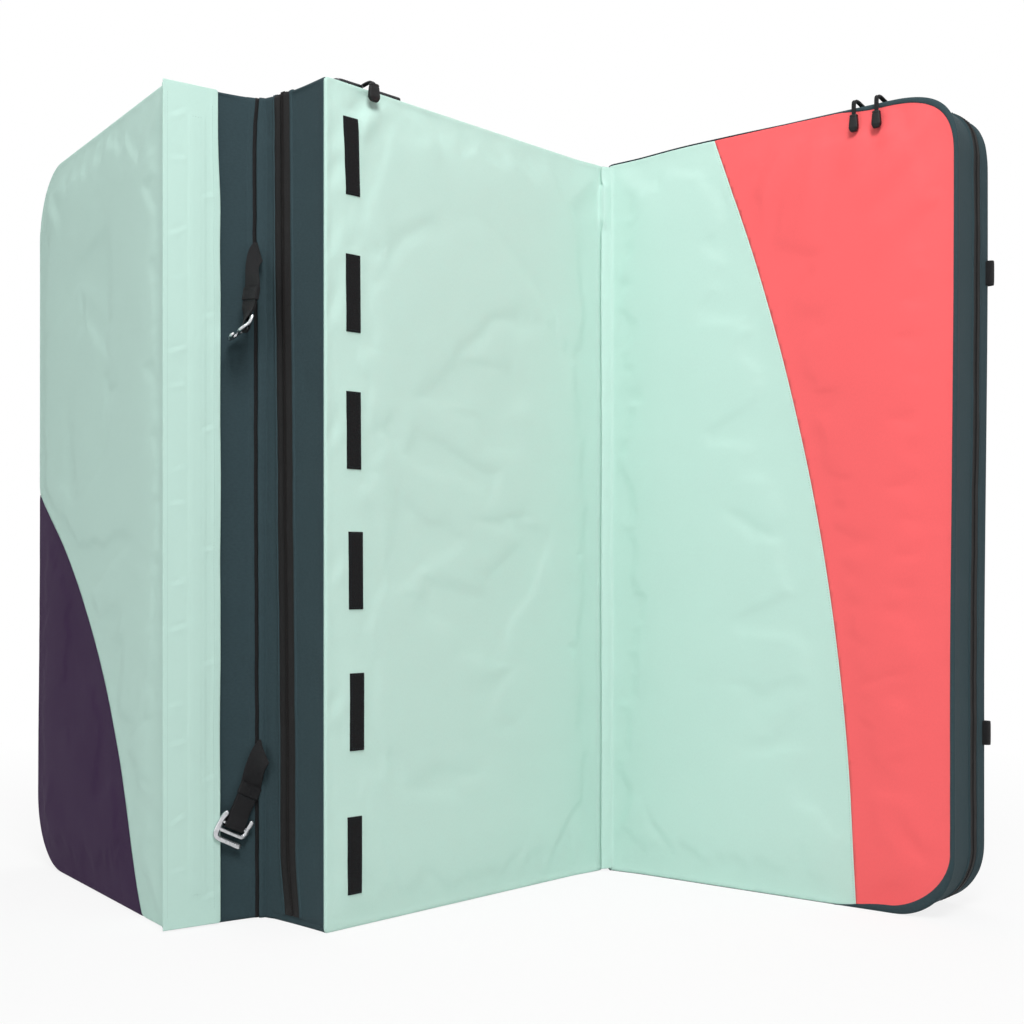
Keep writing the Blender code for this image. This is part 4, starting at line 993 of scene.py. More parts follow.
def marks_along(line, outs, pitch=STITCH_PITCH):
    """Evenly spaced stitches along a line on the cloth: middle, direction and the way out."""
    marks = []
    left = pitch / 2
    for (start, end), out in zip(zip(line, line[1:]), outs):
        start, end = Vector(start), Vector(end)
        length = (end - start).length
        if length < 1e-7:
            continue
        while left <= length:
            marks.append((start.lerp(end, left / length), (end - start) / length, Vector(out)))
            left += pitch
        left -= length
    return marks


def boxed(near, far, foot, head):
    """Rows of a sewn box, corner to corner, with one diagonal last."""
    corners = ((near, foot), (far, foot), (far, head), (near, head), (near, foot), (far, head))
    return list(zip(corners, corners[1:]))


def stitches(name, marks, look, matrix, body):
    """Short thread stitches that stand a little proud of the cloth."""
    points, faces, uvs = [], [], []
    for middle, direction, out in marks:
        side = direction.cross(out).normalized()
        first = len(points)
        points += [middle - direction * STITCH_LENGTH / 2 - out * 0.0002]
        points += [middle + side * STITCH_THICK, middle + out * STITCH_THICK * 1.3]
        points += [middle - side * STITCH_THICK, middle - out * STITCH_THICK]
        points += [middle + direction * STITCH_LENGTH / 2 - out * 0.0002]
        for k in range(4):
            a, b = first + 1 + k, first + 1 + (k + 1) % 4
            faces += [(first, b, a), (first + 5, a, b)]
    uvs = [(p[0] + p[1], p[2]) for p in points]
    return build(name, points, faces, uvs, look, matrix, body)


def on_cover(surface, line, step=0.004, lift=0.0002):
    """A line of panel places laid on a cover sheet."""
    laid = []
    for (x0, z0), (x1, z1) in zip(line, line[1:]):
        count = max(1, round(math.hypot(x1 - x0, z1 - z0) / step))
        laid += [surface.at(x0 + (x1 - x0) * k / count, z0 + (z1 - z0) * k / count, lift) for k in range(count)]
    laid.append(surface.at(*line[-1], lift))
    return laid


def stitch_cover(name, surface, lines, look):
    """Stitch rows on a cover sheet, along lines of panel places."""
    out = (0.0, surface.out, 0.0)
    marks = []
    for line in lines:
        laid = on_cover(surface, line)
        marks += marks_along(laid, [out] * len(laid))
    return stitches(name, marks, look, STAND[surface.panel.name], surface.panel.body)


def arc_line(panel, circle, offset):
    """The part of a circle, or of one beside it, that lies on a panel."""
    (centre_x, centre_z), radius = circle
    radius += offset
    line = []
    for step in range(721):
        angle = math.radians(-90 + step / 4)
        x, z = centre_x + radius * math.cos(angle), centre_z + radius * math.sin(angle)
        if 0.0 <= x <= WIDTH and 0.0 <= z <= HEIGHT and edge_distance(panel, x, z) > 0.004:
            line.append((x, z))
    return line


# Panels: covers, side bands and seams

PURPLE_CIRCLE = ((-0.343, -0.151), 0.770)
CORAL_CIRCLE = ((-2.300, -0.026), 2.675)


def panels():
    """The three covered panels and the rows of stitching on their faces."""
    covers = {}
    covers["outer"] = cover(
        OUTER, "front", ("outer_purple_cloth", "outer_mint_cloth"), ("purple", "mint"),
        (["outer_panel_purple_sheet"], ["outer_panel_mint_sheet", "outer_panel_landing_foam"]), PURPLE_CIRCLE)
    covers["middle"] = cover(
        MIDDLE, "front", ("middle_mint_cloth",), ("mint",),
        (["middle_panel_landing_sheet", "middle_panel_landing_foam"],))
    covers["inner"] = cover(
        INNER, "front", ("inner_mint_cloth", "inner_coral_cloth"), ("mint", "coral"),
        (["inner_panel_mint_sheet"], ["inner_panel_coral_sheet", "inner_panel_landing_foam"]), CORAL_CIRCLE)
    for panel in (OUTER, MIDDLE, INNER):
        foams = [f"{panel.body}_core_foam", f"{panel.body}_ground_foam"]
        covers[panel.name + "_ground"] = cover(
            panel, "back", (f"{panel.name}_ground_cloth",), ("slate",),
            ([f"{panel.body}_ground_sheet"] + foams,))
        side_band(panel, covers[panel.name])
    stitch_cover("purple_seam_stitches", covers["outer"], [arc_line(OUTER, PURPLE_CIRCLE, 0.0025)], "thread")
    stitch_cover("coral_seam_stitches", covers["inner"], [arc_line(INNER, CORAL_CIRCLE, -0.0025)], "thread")
    return covers


# Folds between the panels

# How far the black seam tape reaches on to the wall beside the outer crease; its black is partly painted shade of the
# crease.
CREASE_SHADE_TAPE = 0.0036
OUTER_LEANS = ((0.0, 0.0008), (0.25, 0.0012), (0.5, 0.0020), (0.72, 0.0028), (0.80, 0.0038), (0.93, 0.0042),
               (0.965, 0.0030), (0.985, 0.0014), (1.0, 0.0004))
INNER_LEANS = ((0.0, 0.0055), (1.0, 0.0055))


def crease_sides(panel, fold, outline, z, lean):
    """Row-frame points of a flange on a panel's fold wall or fold edge, ending a lean short of the fold."""
    if fold == "outer":
        x, normal = (WIDTH, (1.0, 0.0)) if panel is OUTER else (0.0, (-1.0, 0.0))
        near = int(np.argmin(np.hypot(outline.places[:, 0] - x, outline.places[:, 1] - z)))
        s = outline.arc[near] + (z - outline.places[near][1]) * normal[0]
        steps = ((0.1060, -0.0008), (0.1110, 0.0001), (0.1145, 0.0004), (0.1175, 0.0006), (0.1195, 0.0007))
        return [Vector(wall_point(panel, (x, z), normal, y - lean, lift, s)) for y, lift in steps]
    surface = COVERS[panel.name]
    sign = -1.0 if panel is MIDDLE else 1.0
    edge = WIDTH if panel is MIDDLE else 0.0
    z = min(max(z, 0.004), HEIGHT - 0.004)
    rows = []
    for across, lift in ((0.0200, -0.0014), (0.0150, -0.0011), (0.0100, -0.0007), (0.0065, 0.0), (0.0040, 0.0004)):
        across += lean
        place = surface.at(edge + sign * max(across, 0.0048), z, lift)
        place.x = panel.start + edge + sign * across
        rows.append(place)
    return rows


def fold_cloth(name, fold, panels_beside, away, leans, slit, half, lens_depth, sway, look, replaced):
    """The cloth across a fold: it lies over from the right panel and tucks into a crease on the left one. At the outer
    fold a black seam tape runs along the crease; its black is partly painted shade of the crease.
    """
    ways = [(STAND[p.name].to_3x3() @ Vector((*way, 0.0))).normalized() for p, way in zip(panels_beside, away)]
    inward = -(ways[0] + ways[1]).normalized()
    off_left = (ways[1] - ways[0] * ways[1].dot(ways[0])).normalized()
    outlines = [Perimeter(p, OUTLINE_STEP) for p in panels_beside]
    steps = 250
    points, uvs, kept, bound = [], [], None, []
    for step in range(steps + 1):
        z = 0.0015 + (HEIGHT - 0.003) * step / steps
        lens = lens_depth * smoothstep((z - 0.900) / 0.022) * (1.0 - smoothstep((z - 0.966) / 0.012))
        mouth = 2.0 * (half + 0.0022 * lens)
        lean = float(np.interp(z, *zip(*leans)))
        lean += sway * (wave(z * 5.0, 0.0, 0.0, 7.0) + 0.5 * wave(z * 19.0, 1.0, 0.0, 8.0))
        sides = []
        for panel, outline, short in zip(panels_beside, outlines, (lean, 0.5 * lean)):
            sides.append([STAND[panel.name] @ p for p in crease_sides(panel, fold, outline, z, short)])
        low, high = sides[0][-1], sides[1][-1]
        lip = low + off_left * mouth
        # Rows of the black seam tape on the crease's left wall: a real seam tape whose black stands partly for the
        # crease's painted shade.
        bound.append([low + ways[0] * reach + off_left * 0.0006 for reach in (CREASE_SHADE_TAPE, CREASE_SHADE_TAPE / 2, -0.0020)])
        across = []
        for u, cut, bulge in ((0.22, 0.6, 0.0011), (0.5, 1.0, -0.0008), (0.78, 0.6, 0.0011), (1.0, 0.0, 0.0)):
            across.append(low.lerp(lip, u) - ways[0] * (slit * cut * (1.0 - lens)) + inward * (bulge * lens))
        crest = (lip + high) / 2 - inward * 0.0016
        for t in (0.12, 0.3, 0.5, 0.7, 0.88):
            across.append(lip * (1 - t) ** 2 + crest * (2 * t * (1 - t)) + high * t ** 2)
        row = sides[0] + across + list(reversed(sides[1]))
        run = 0.0
        for index, point in enumerate(row):
            run += (point - row[index - 1]).length if index else 0.0
            points.append(point)
            uvs.append((run, z))
        if step == steps // 2:
            kept = (low.copy(), high.copy())
    faces = grid_faces(steps + 1, len(points) // (steps + 1))
    item = build(name, points, faces, uvs, look, Matrix.Identity(4), None)
    thicken(item, 0.0006, 0.0, levels=0)
    bpy.context.view_layer.objects.active = item
    with bpy.context.temp_override(object=item, active_object=item):
        bpy.ops.object.modifier_apply(modifier="thickness")
    pieces = [item]
    # Black webbing tape along the outer crease: the fold's seam tape, made black as painted shade to darken the crease
    # line.
    if fold == "outer":
        tape = build(f"{name}_binding", [p for row in bound for p in row], grid_faces(steps + 1, 3),
                     [(k, z) for z in range(steps + 1) for k in range(3)], "webbing", Matrix.Identity(4), None)
        thicken(tape, 0.0005, 0.0, levels=0)
        pieces.append(tape)
    for piece in pieces:
        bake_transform(piece)
        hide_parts(*replaced)


def bridges():
    """Slate cloth tucked into the outer fold, mint cloth into the inner one."""
    fold_cloth("outer_fold_cloth", "outer", (OUTER, MIDDLE), ((0.0, -1.0), (0.0, -1.0)), OUTER_LEANS,
               slit=0.0090, half=0.0018, lens_depth=0.0, sway=0.0006, look="slate", replaced=["outer_fold_seam"])
    fold_cloth("inner_fold_cloth", "inner", (MIDDLE, INNER), ((-1.0, 0.0), (1.0, 0.0)), INNER_LEANS,
               slit=0.0085, half=0.0020, lens_depth=1.0, sway=0.0004, look="mint", replaced=["inner_fold_seam"])


# Flap, its tape and the patches it closes on

FLAP_FOOT, FLAP_HEAD, FLAP_REACH, FLAP_ROOT = 0.002, 0.998, 0.066, -0.002
FLAP_PLACE, FLAP_EASE = -0.0090, 0.0033
TAPE_NEAR, TAPE_FAR, TAPE_FOOT, TAPE_HEAD = 0.030, 0.048, 0.038, 0.962


def flap_height(y, z):
    """Creases of the flap: slanted folds between its root, its tape and its free edge."""
    height = 0.0005 * wave(y * 25.0, z * 9.0, 0.0, 71.0)
    for number in range(21):
        foot = 0.028 + 0.0465 * number + 0.012 * wave(number * 1.7, 0.0, 0.0, 75.0)
        slope = 0.55 * wave(number * 2.3, 4.0, 0.0, 76.0) + 0.25
        size = 0.0011 * (0.55 + 0.45 * wave(number * 3.1, 8.0, 0.0, 77.0))
        start, end = (0.002, TAPE_NEAR) if number % 3 else (TAPE_FAR - 0.004, FLAP_REACH)
        line = (start, foot, end, foot + slope * (end - start), 0.0032, size)
        height += crease(y, z, line)
    step = smoothstep((y - TAPE_NEAR + 0.001) / 0.002) * (1.0 - smoothstep((y - TAPE_FAR - 0.001) / 0.002))
    within = smoothstep((z - TAPE_FOOT + 0.002) / 0.003) * smoothstep((TAPE_HEAD - z + 0.002) / 0.003)
    groove = sum(math.exp(-((y - line) / 0.0009) ** 2) for line in (TAPE_NEAR + 0.0015, TAPE_FAR - 0.0015))
    hem = 0.0004 * smoothstep((y - FLAP_REACH + 0.009) / 0.002)
    return height * 0.9 + within * (0.0005 * step - 0.0004 * groove) + hem


def flap_point(y, z):
    """A row-frame point on the flap, with its wavy free edge and the curl towards it."""
    edge = 0.0007 * wave(z * 16.0, 0.0, 0.0, 81.0) * smoothstep((y - 0.045) / 0.02)
    edge += FLAP_EASE * smoothstep((0.95 - z) / 0.10) * smoothstep((y - 0.048) / 0.018)
    curl = 0.0010 * wave(z * 10.0, 2.0, 0.0, 83.0) * smoothstep((y - 0.040) / 0.026)
    return Vector((FLAP_PLACE + flap_height(y, z) + 0.0006 + curl, y + edge, z))


def flap():
    """The closing flap, the hook tape on its inner side and their stitches; the strip it is sewn on by comes from
    flap_root.
    """
    ys = [FLAP_ROOT, -0.0008, 0.0006]
    ys += list(np.linspace(0.003, FLAP_REACH - 0.0022, 34)) + [FLAP_REACH - 0.0010, FLAP_REACH]
    zs = [FLAP_FOOT, FLAP_FOOT + 0.001] + list(np.linspace(FLAP_FOOT + 0.003, FLAP_HEAD - 0.003, 330))
    zs += [FLAP_HEAD - 0.001, FLAP_HEAD]
    points, uvs = [], []
    cut = 0.002
    for z in zs:
        for y in ys:
            over = (y - (FLAP_REACH - cut)) / cut
            trim = cut * over if over > 0.0 else 0.0
            low, high = FLAP_FOOT + trim, FLAP_HEAD - trim
            share = (z - FLAP_FOOT) / (FLAP_HEAD - FLAP_FOOT)
            here = low + (high - low) * share
            points.append(flap_point(y, here))
            uvs.append((y, here))
    item = build("flap_cloth", points, grid_faces(len(zs), len(ys)), uvs, "mint", STAND["outer"], "flap")
    thicken(item, 0.0009, -1.0, levels=0)
    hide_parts("closing_flap")

    tape_points, tape_uvs = [], []
    tape_ys = np.linspace(TAPE_NEAR, TAPE_FAR, 8)
    tape_zs = np.linspace(TAPE_FOOT, TAPE_HEAD, 200)
    for z in tape_zs:
        for k, y in enumerate(tape_ys):
            point = flap_point(y, z)
            point.x -= 0.0011 + (0.0 if k in (0, 7) else 0.0004 + 0.0002 * wave(y * 900.0, z * 700.0, 0.0))
            tape_points.append(point)
            tape_uvs.append((y, z))
    faces = [(a, d, c, b) for a, b, c, d in grid_faces(len(tape_zs), len(tape_ys))]
    tape = build("flap_hook_tape_cloth", tape_points, faces, tape_uvs, "loop", STAND["outer"], "flap")
    thicken(tape, 0.0005, 1.0, levels=0)
    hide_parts("flap_hook_tape")

    inset = 0.0015
    near, far = TAPE_NEAR + inset, TAPE_FAR - inset
    foot, head = TAPE_FOOT + inset, TAPE_HEAD - inset
    marks = []
    lines = boxed(near, far, foot, head)[:4]
    lines += [((0.0035, 0.016), (0.0035, 0.984)), ((FLAP_REACH - 0.007, 0.020), (FLAP_REACH - 0.007, 0.980))]
    for (y0, z0), (y1, z1) in lines:
        count = max(2, round(math.hypot(y1 - y0, z1 - z0) / 0.004))
        line = [flap_point(y0 + (y1 - y0) * k / count, z0 + (z1 - z0) * k / count) for k in range(count + 1)]
        marks += marks_along(line, [(1.0, 0.0, 0.0)] * count)
    sewing = stitches("flap_stitches", marks, "thread", STAND["outer"], "flap")


def flap_root(surface):
    """The edge strip that joins the outer landing sheet to the flap, with its row of stitches."""
    xs = np.linspace(WIDTH - 0.016, WIDTH - 0.0002, 9)
    steps = 200
    points, uvs = [], []
    for step in range(steps + 1):
        z = 0.006 + (HEIGHT - 0.012) * step / steps
        for k, x in enumerate(xs):
            ground = surface.at(min(x, WIDTH - 0.0045), z).y - 0.0005
            share = smoothstep((x - xs[0]) / (xs[-1] - xs[0]))
            top = FLAP_ROOT + 0.0004 * wave(z * 60.0, 0.0, 0.0, 91.0)
            points.append(Vector((OUTER.start + x, ground * (1 - share) + top * share, z)))
            uvs.append((x, z))
        points.append(Vector((OUTER.start + WIDTH - 0.0002, 0.012, z)))
        uvs.append((WIDTH + 0.012, z))
    faces = grid_faces(steps + 1, len(xs) + 1)
    item = build("flap_root_strip", points, faces, uvs, "mint", STAND["outer"], "outer_panel")
    thicken(item, 0.0008, -1.0, levels=0)
    x = WIDTH - 0.0125
    share = smoothstep((x - xs[0]) / (xs[-1] - xs[0]))
    laid = []
    for z in (0.010 + 0.98 * k / 245 for k in range(246)):
        y = (surface.at(x, z).y - 0.0005) * (1 - share) + FLAP_ROOT * share
        laid.append(Vector((OUTER.start + x, y - 0.0002, z)))
    stitches("flap_root_stitches", marks_along(laid, [(0.0, -1.0, 0.0)] * 245), "thread", STAND["outer"],
             "outer_panel")


def patches(surface):
    """Six loop patches that follow the cover, each with its row of stitches."""
    marks = []
    for number, (middle, centre) in enumerate(PATCH_PLACES):
        half_width, half_height = PATCH_HALF_WIDTH, PATCH_HALF_HEIGHT
        columns = [-1.0, -0.96, -0.9] + list(np.linspace(-0.8, 0.8, 14)) + [0.9, 0.96, 1.0]
        rows = [-1.0, -0.99, -0.972] + list(np.linspace(-0.95, 0.95, 46)) + [0.972, 0.99, 1.0]
        points, uvs = [], []
        for v in rows:
            for u in columns:
                x, z = middle + u * half_width - PATCH_SLANT[number] * v, centre + v * half_height
                away = min((1 - abs(u)) * half_width, (1 - abs(v)) * half_height)
                lift = -0.0004 if away < 1e-6 else 0.0016 * min(1.0, away / 0.0012) ** 0.5
                lift += 0.00025 * wave(x * 900.0, z * 900.0, number) if away > 0.0012 else 0.0
                lift -= 0.0003 * math.exp(-((away - 0.0024) / 0.0006) ** 2)
                points.append(surface.at(x, z, lift))
                uvs.append((x, z))
        name = f"loop_patch_{number + 1}"
        faces = grid_faces(len(rows), len(columns))
        item = build(name + "_cloth", points, faces, uvs, "loop", STAND["middle"], "middle_panel")
        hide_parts(name)
        inset = 0.0024
        a, b = half_width - inset, half_height - inset
        line = [(middle + u * a - PATCH_SLANT[number] * v, centre + v * b)
                for u, v in ((-1, -1), (1, -1), (1, 1), (-1, 1), (-1, -1))]
        laid = on_cover(surface, line, lift=0.0015)
        marks += marks_along(laid, [(0.0, -1.0, 0.0)] * len(laid), pitch=0.0030)
    stitches("patch_stitches", marks, "dark_thread", STAND["middle"], "middle_panel")


# Solid pieces

def prism(outline, low, high, place=Matrix.Identity(4), order="xyz"):
    """A flat outline given a thickness along the last axis of an order, then put in place."""
    points = []
    for level in (low, high):
        for u, v in outline:
            value = dict(zip(order, (u, v, level)))
            points.append(place @ Vector((value["x"], value["y"], value["z"])))
    return points, loops_mesh([outline, outline])


def assemble(name, parts, look, matrix, body, bevel=0.0005):
    """One piece of several solids, its edges rounded."""
    points, faces = [], []
    for part_points, part_faces in parts:
        first = len(points)
        points += part_points
        faces += [tuple(first + k for k in face) for face in part_faces]
    uvs = [(p[0] + p[1], p[2]) for p in points]
    item = build(name, points, faces, uvs, look, matrix, body)
    face_outwards(item)
    round_edges(item, bevel)
    return item


def round_edges(item, width, segments=3):
    """Bevel a piece's sharp edges."""
    bevel = item.modifiers.new("rounded", "BEVEL")
    bevel.width = width
    bevel.segments = segments
    bevel.limit_method = "ANGLE"
    bevel.angle_limit = math.radians(32)
    item.modifiers.new("even", "WEIGHTED_NORMAL")


def skin(name, loops, look, matrix, body):
    """A closed skin over loops of points, with cloth coordinates round and along it."""
    points = [point for loop in loops for point in loop]
    uvs = []
    run = 0.0
    for index, loop in enumerate(loops):
        if index:
            run += (Vector(loop[0]) - Vector(loops[index - 1][0])).length
        around = 0.0
        for k, point in enumerate(loop):
            if k:
                around += (Vector(point) - Vector(loop[k - 1])).length
            uvs.append((around, run))
    return build(name, points, loops_mesh(loops), uvs, look, matrix, body)


# Zips

ZIP_MIDDLE, ZIP_HALF = 0.080, 0.014
ZIP_FOOT, ZIP_TOP_RUN, INNER_ZIP_START, INNER_ZIP_FOOT = 0.012, 0.130, 0.110, math.radians(60)
ZIP_STEP, TOOTH_PITCH = 0.004, 0.0016
TAPE_SECTION = ((0.0004, 0.0002), (0.0014, 0.0009), (0.0045, 0.0011), (0.0090, 0.0010), (0.0135, 0.0009),
                (0.0140, 0.0001))
WELT_SECTION = ((0.0134, 0.0006), (0.0136, 0.0014), (0.0142, 0.0018), (0.0156, 0.0017), (0.0168, 0.0011),
                (0.0176, -0.0004))
SHEAR_DEPTH, SHEAR_HEIGHT = 0.009, 0.090


def zip_depth(panel, place):
    """How far the middle zip's line strays from the wall's middle: back at its head, forward at its foot."""
    x, z = place
    if panel.name != "middle":
        return 0.0
    stray = 0.0105 * min(1.0, max(0.0, (z - 0.20) / 0.75)) * (1.0 - smoothstep(x / 0.05))
    if x < 0.02:
        stray -= SHEAR_DEPTH * smoothstep((SHEAR_HEIGHT - z) / SHEAR_HEIGHT)
    return stray


def along_zip(panel, outline, run):
    """Stations along a zip: distance, place, outward normal and how far its line strays."""
    steps = round((run[1] - run[0]) / ZIP_STEP)
    for step in range(steps + 1):
        s = run[0] + (run[1] - run[0]) * step / steps
        place, normal = outline.at(s)
        yield s, place, normal, zip_depth(panel, place)


def zip_strip(name, panel, outline, run, section, look):
    """A strip along the wall with a cross-section of depths and heights off the wall."""
    points, uvs = [], []
    for s, place, normal, shift in along_zip(panel, outline, run):
        for depth, lift in section:
            points.append(wall_point(panel, place, normal, depth + shift, lift, s))
            uvs.append((depth, s))
    faces = grid_faces(len(points) // len(section), len(section))
    return build(name, points, faces, uvs, look, STAND[panel.name], panel.body)


def zipper(panel, run):
    """Tapes, the cloth welts they are sewn to, coil teeth and stitching."""
    outline = Perimeter(panel, ZIP_STEP)
    label = panel.name
    share = 0.70 if panel is INNER else 1.0
    low, high = ZIP_MIDDLE - share * ZIP_HALF, ZIP_MIDDLE + share * ZIP_HALF
    for side, sign in (("front", -1.0), ("back", 1.0)):
        for part, look, section in (("tape", "zip", TAPE_SECTION), ("welt", "slate", WELT_SECTION)):
            row = [(ZIP_MIDDLE + sign * share * across, lift) for across, lift in section]
            zip_strip(f"{label}_zip_{part}_{side}", panel, outline, run, row[::-1] if sign < 0 else row, look)
    points, faces = [], []
    count = int((run[1] - run[0]) / TOOTH_PITCH)
    for number in range(count):
        s = run[0] + TOOTH_PITCH * (number + 0.5)
        place, normal = outline.at(s)
        middle = ZIP_MIDDLE + zip_depth(panel, place) + (0.0008 if number % 2 else -0.0008)
        first = len(points)
        for lift, reach, half in ((0.0006, 0.0021, 0.00062), (0.0019, 0.0020, 0.00058), (0.0025, 0.0013, 0.00030)):
            for depth, shift in ((-reach, -half), (reach, -half), (reach, half), (-reach, half)):
                spot, out = outline.at(s + shift)
                points.append(wall_point(panel, spot, out, middle + depth, lift, s + shift))
        for ring in (0, 4):
            for k in range(4):
                a, b = first + ring + k, first + ring + (k + 1) % 4
                faces.append((a, b, b + 4, a + 4))
        faces.append((first + 8, first + 9, first + 10, first + 11))
    uvs = [(p[1], p[2]) for p in points]
    teeth = build(f"{label}_zip_coil", points, faces, uvs, "coil", STAND[label], panel.body)
    face_outwards(teeth)
    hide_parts(f"{label}_panel_zip")
    marks = []
    for depth in (low - 0.0012, high + 0.0012):
        line, outs = [], []
        for s, place, normal, shift in along_zip(panel, outline, run):
            line.append(wall_point(panel, place, normal, depth + shift, 0.0018, s))
            outs.append((normal[0], 0.0, normal[1]))
        marks += marks_along(line, outs)
    stitches(f"{label}_zip_stitches", marks, "dark_thread", STAND[label], panel.body)


def zips():
    """The middle panel's zip in its fold wall, and the inner panel's in its end wall."""
    middle_line, inner_line = Perimeter(MIDDLE, ZIP_STEP), Perimeter(INNER, ZIP_STEP)
    centre = (WIDTH - FULL_CORNER, FULL_CORNER)
    foot = (centre[0] + FULL_CORNER * math.cos(INNER_ZIP_FOOT), centre[1] - FULL_CORNER * math.sin(INNER_ZIP_FOOT))
    zipper(MIDDLE, (middle_line.nearest(ZIP_TOP_RUN, HEIGHT), middle_line.nearest(0.0, ZIP_FOOT)))
    zipper(INNER, (inner_line.nearest(*foot), inner_line.nearest(INNER_ZIP_START, HEIGHT)))


# Zip sliders and their pulls

CORNER_START = WIDTH - BIG_CORNER
PULLS = {
    "middle": (MIDDLE, 0.0675, 0.016, "middle_panel", 0.0034),
    "inner_left": (INNER, CORNER_START - 0.024, 0.012, "inner_left_slider", -0.0119),
    "inner_right": (INNER, CORNER_START + 0.006, 0.012, "inner_right_slider", -0.0130),
}
STEM_START = 1.0046
PULL_ACROSS_TOP = ((0.065, -0.0002), (0.045, 0.0), (0.022, 0.0012), (0.010, 0.0028), (0.003, 0.0027))
PULL_OVER_EDGE = -0.0030
STRAND = 0.00155
GRIP_LENGTH = 0.021
GRIP_STATIONS = (
    (-0.02, 0.50, 0.60), (0.00, 0.70, 0.84), (0.05, 0.82, 0.98), (0.12, 0.83, 1.00), (0.15, 0.77, 0.92),
    (0.18, 0.85, 1.02), (0.40, 0.92, 1.08), (0.68, 1.00, 1.10), (0.78, 1.00, 1.10), (0.80, 0.97, 1.04),
    (0.91, 0.80, 0.86), (0.985, 0.66, 0.62), (1.00, 0.58, 0.52),
)


def slider(label, panel, x, body):
    """A moulded slider: plates joined over the coil, with side flanges and a bridge for the pull."""
    foot = HEIGHT - wall_inset(ZIP_MIDDLE, 1.0)
    place = Matrix.Translation((panel.start + x, ZIP_MIDDLE, foot))
    mm = 0.001
    plan = [(-6, -2.6), (-4.4, -5.0), (0, -5.5), (4.4, -4.2), (6, -2.2),
            (6, 2.2), (4.4, 4.2), (0, 5.5), (-4.4, 5.0), (-6, 2.6)]
    flange = [(-4.6, 3.7), (0, 4.2), (4.6, 3.2), (4.6, 4.1), (0, 5.4), (-4.6, 4.9)]
    arch = [(-4.6, 3.2), (-4.5, 4.9), (-3.8, 5.9), (-2.2, 6.4), (2.2, 6.4), (3.8, 5.9), (4.5, 4.9), (4.6, 3.2),
            (3.3, 3.2), (3.2, 4.4), (2.6, 5.0), (1.6, 5.3), (-1.6, 5.3), (-2.6, 5.0), (-3.2, 4.4), (-3.3, 3.2)]
    parts = [prism([(u * mm, v * mm) for u, v in plan], 2.7 * mm, 3.8 * mm, place)]
    parts.append(prism([(u * mm, v * mm) for u, v in flange], 0.9 * mm, 2.9 * mm, place))
    parts.append(prism([(u * mm, -v * mm) for u, v in flange], 0.9 * mm, 2.9 * mm, place))
    parts.append(prism([(u * mm, v * mm) for u, v in arch], -1.5 * mm, 1.5 * mm, place, order="xzy"))
    item = assemble(f"{label}_slider_body", parts, "plastic", STAND[panel.name], body, bevel=0.0004)
    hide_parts(f"{label}_zip_slider")


def pull(label, panel, x, width, hang):
    """A doubled cord looped through the slider's bridge, over the edge to a moulded grip."""
    body = f"{label}_pull"
    matrix = STAND[panel.name]
    start = Vector((panel.start + x, ZIP_MIDDLE, STEM_START))
    route = [start]
    route += [Vector((start.x, depth, STEM_START + rise)) for depth, rise in PULL_ACROSS_TOP]
    route += [Vector((start.x, -0.0020, HEIGHT + 0.0048)), Vector((start.x, PULL_OVER_EDGE, HEIGHT + hang))]
    line = [Vector(row[:3]) for row in smooth_line(route, 0.0018)]
    loops = []
    for index, place in enumerate(line):
        along = direction(line, index)
        across = Vector((1.0, 0.0, 0.0))
        out = across.cross(along)
        near_end = min(index, len(line) - 1 - index) / 3
        spread = STRAND * (0.92 if near_end >= 1 else 0.55 + 0.37 * near_end)
        loop = []
        for sign in (1.0, -1.0):
            for step in range(7):
                angle = math.radians(-126 + 252 * step / 6) + (0.0 if sign > 0 else math.pi)
                offset = across * (sign * spread + STRAND * math.cos(angle)) + out * STRAND * math.sin(angle)
                loop.append(place + offset)
        loops.append(loop)
    stem = skin(f"{label}_pull_cord", loops, "webbing", matrix, body)
    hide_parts(f"{label}_pull_stem")

    ring = []
    ring_centre = Vector((start.x, ZIP_MIDDLE - 0.0002, STEM_START + 0.0006))
    for step in range(16):
        angle = 2 * math.pi * step / 16
        way = Vector((0.0, math.cos(angle), math.sin(angle)))
        ring.append([ring_centre + way * (0.0023 + 0.0008 * math.cos(turn)) + Vector((0.0008 * math.sin(turn), 0, 0))
                     for turn in (2 * math.pi * k / 8 for k in range(8))])
    points = [p for loop in ring for p in loop]
    build(f"{label}_pull_eye", points, loops_mesh(ring, ring=True), [(p.y, p.z) for p in points], "webbing",
          matrix, body)

    end = line[-1]
    top = end.z + 0.0004
    half_depth, half_width = 0.003, width / 2
    loops = []
    for share, wide, deep in GRIP_STATIONS:
        loop = []
        for step in range(20):
            angle = 2 * math.pi * step / 20
            c, s = math.cos(angle), math.sin(angle)
            u = squared(c, 0.42) * half_width * wide
            v = squared(s, 0.42) * half_depth * deep
            loop.append(Vector((end.x + u, end.y + v, top - share * GRIP_LENGTH)))
        loops.append(loop)
    grip = skin(f"{label}_grip", loops, "plastic", matrix, body)
    grip.data.set_sharp_from_angle(angle=math.radians(24))
    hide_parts(f"{label}_pull_grip")
    world = [matrix @ fullness(p, matrix) for p in line]
    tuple(world[0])


def pulls():
    """A slider and its pull for each zip end that shows."""
    for label, (panel, x, width, body, hang) in PULLS.items():
        slider(label, panel, x, body)
        pull(label, panel, x, width, hang)


# Closing straps, their keepers and hooks

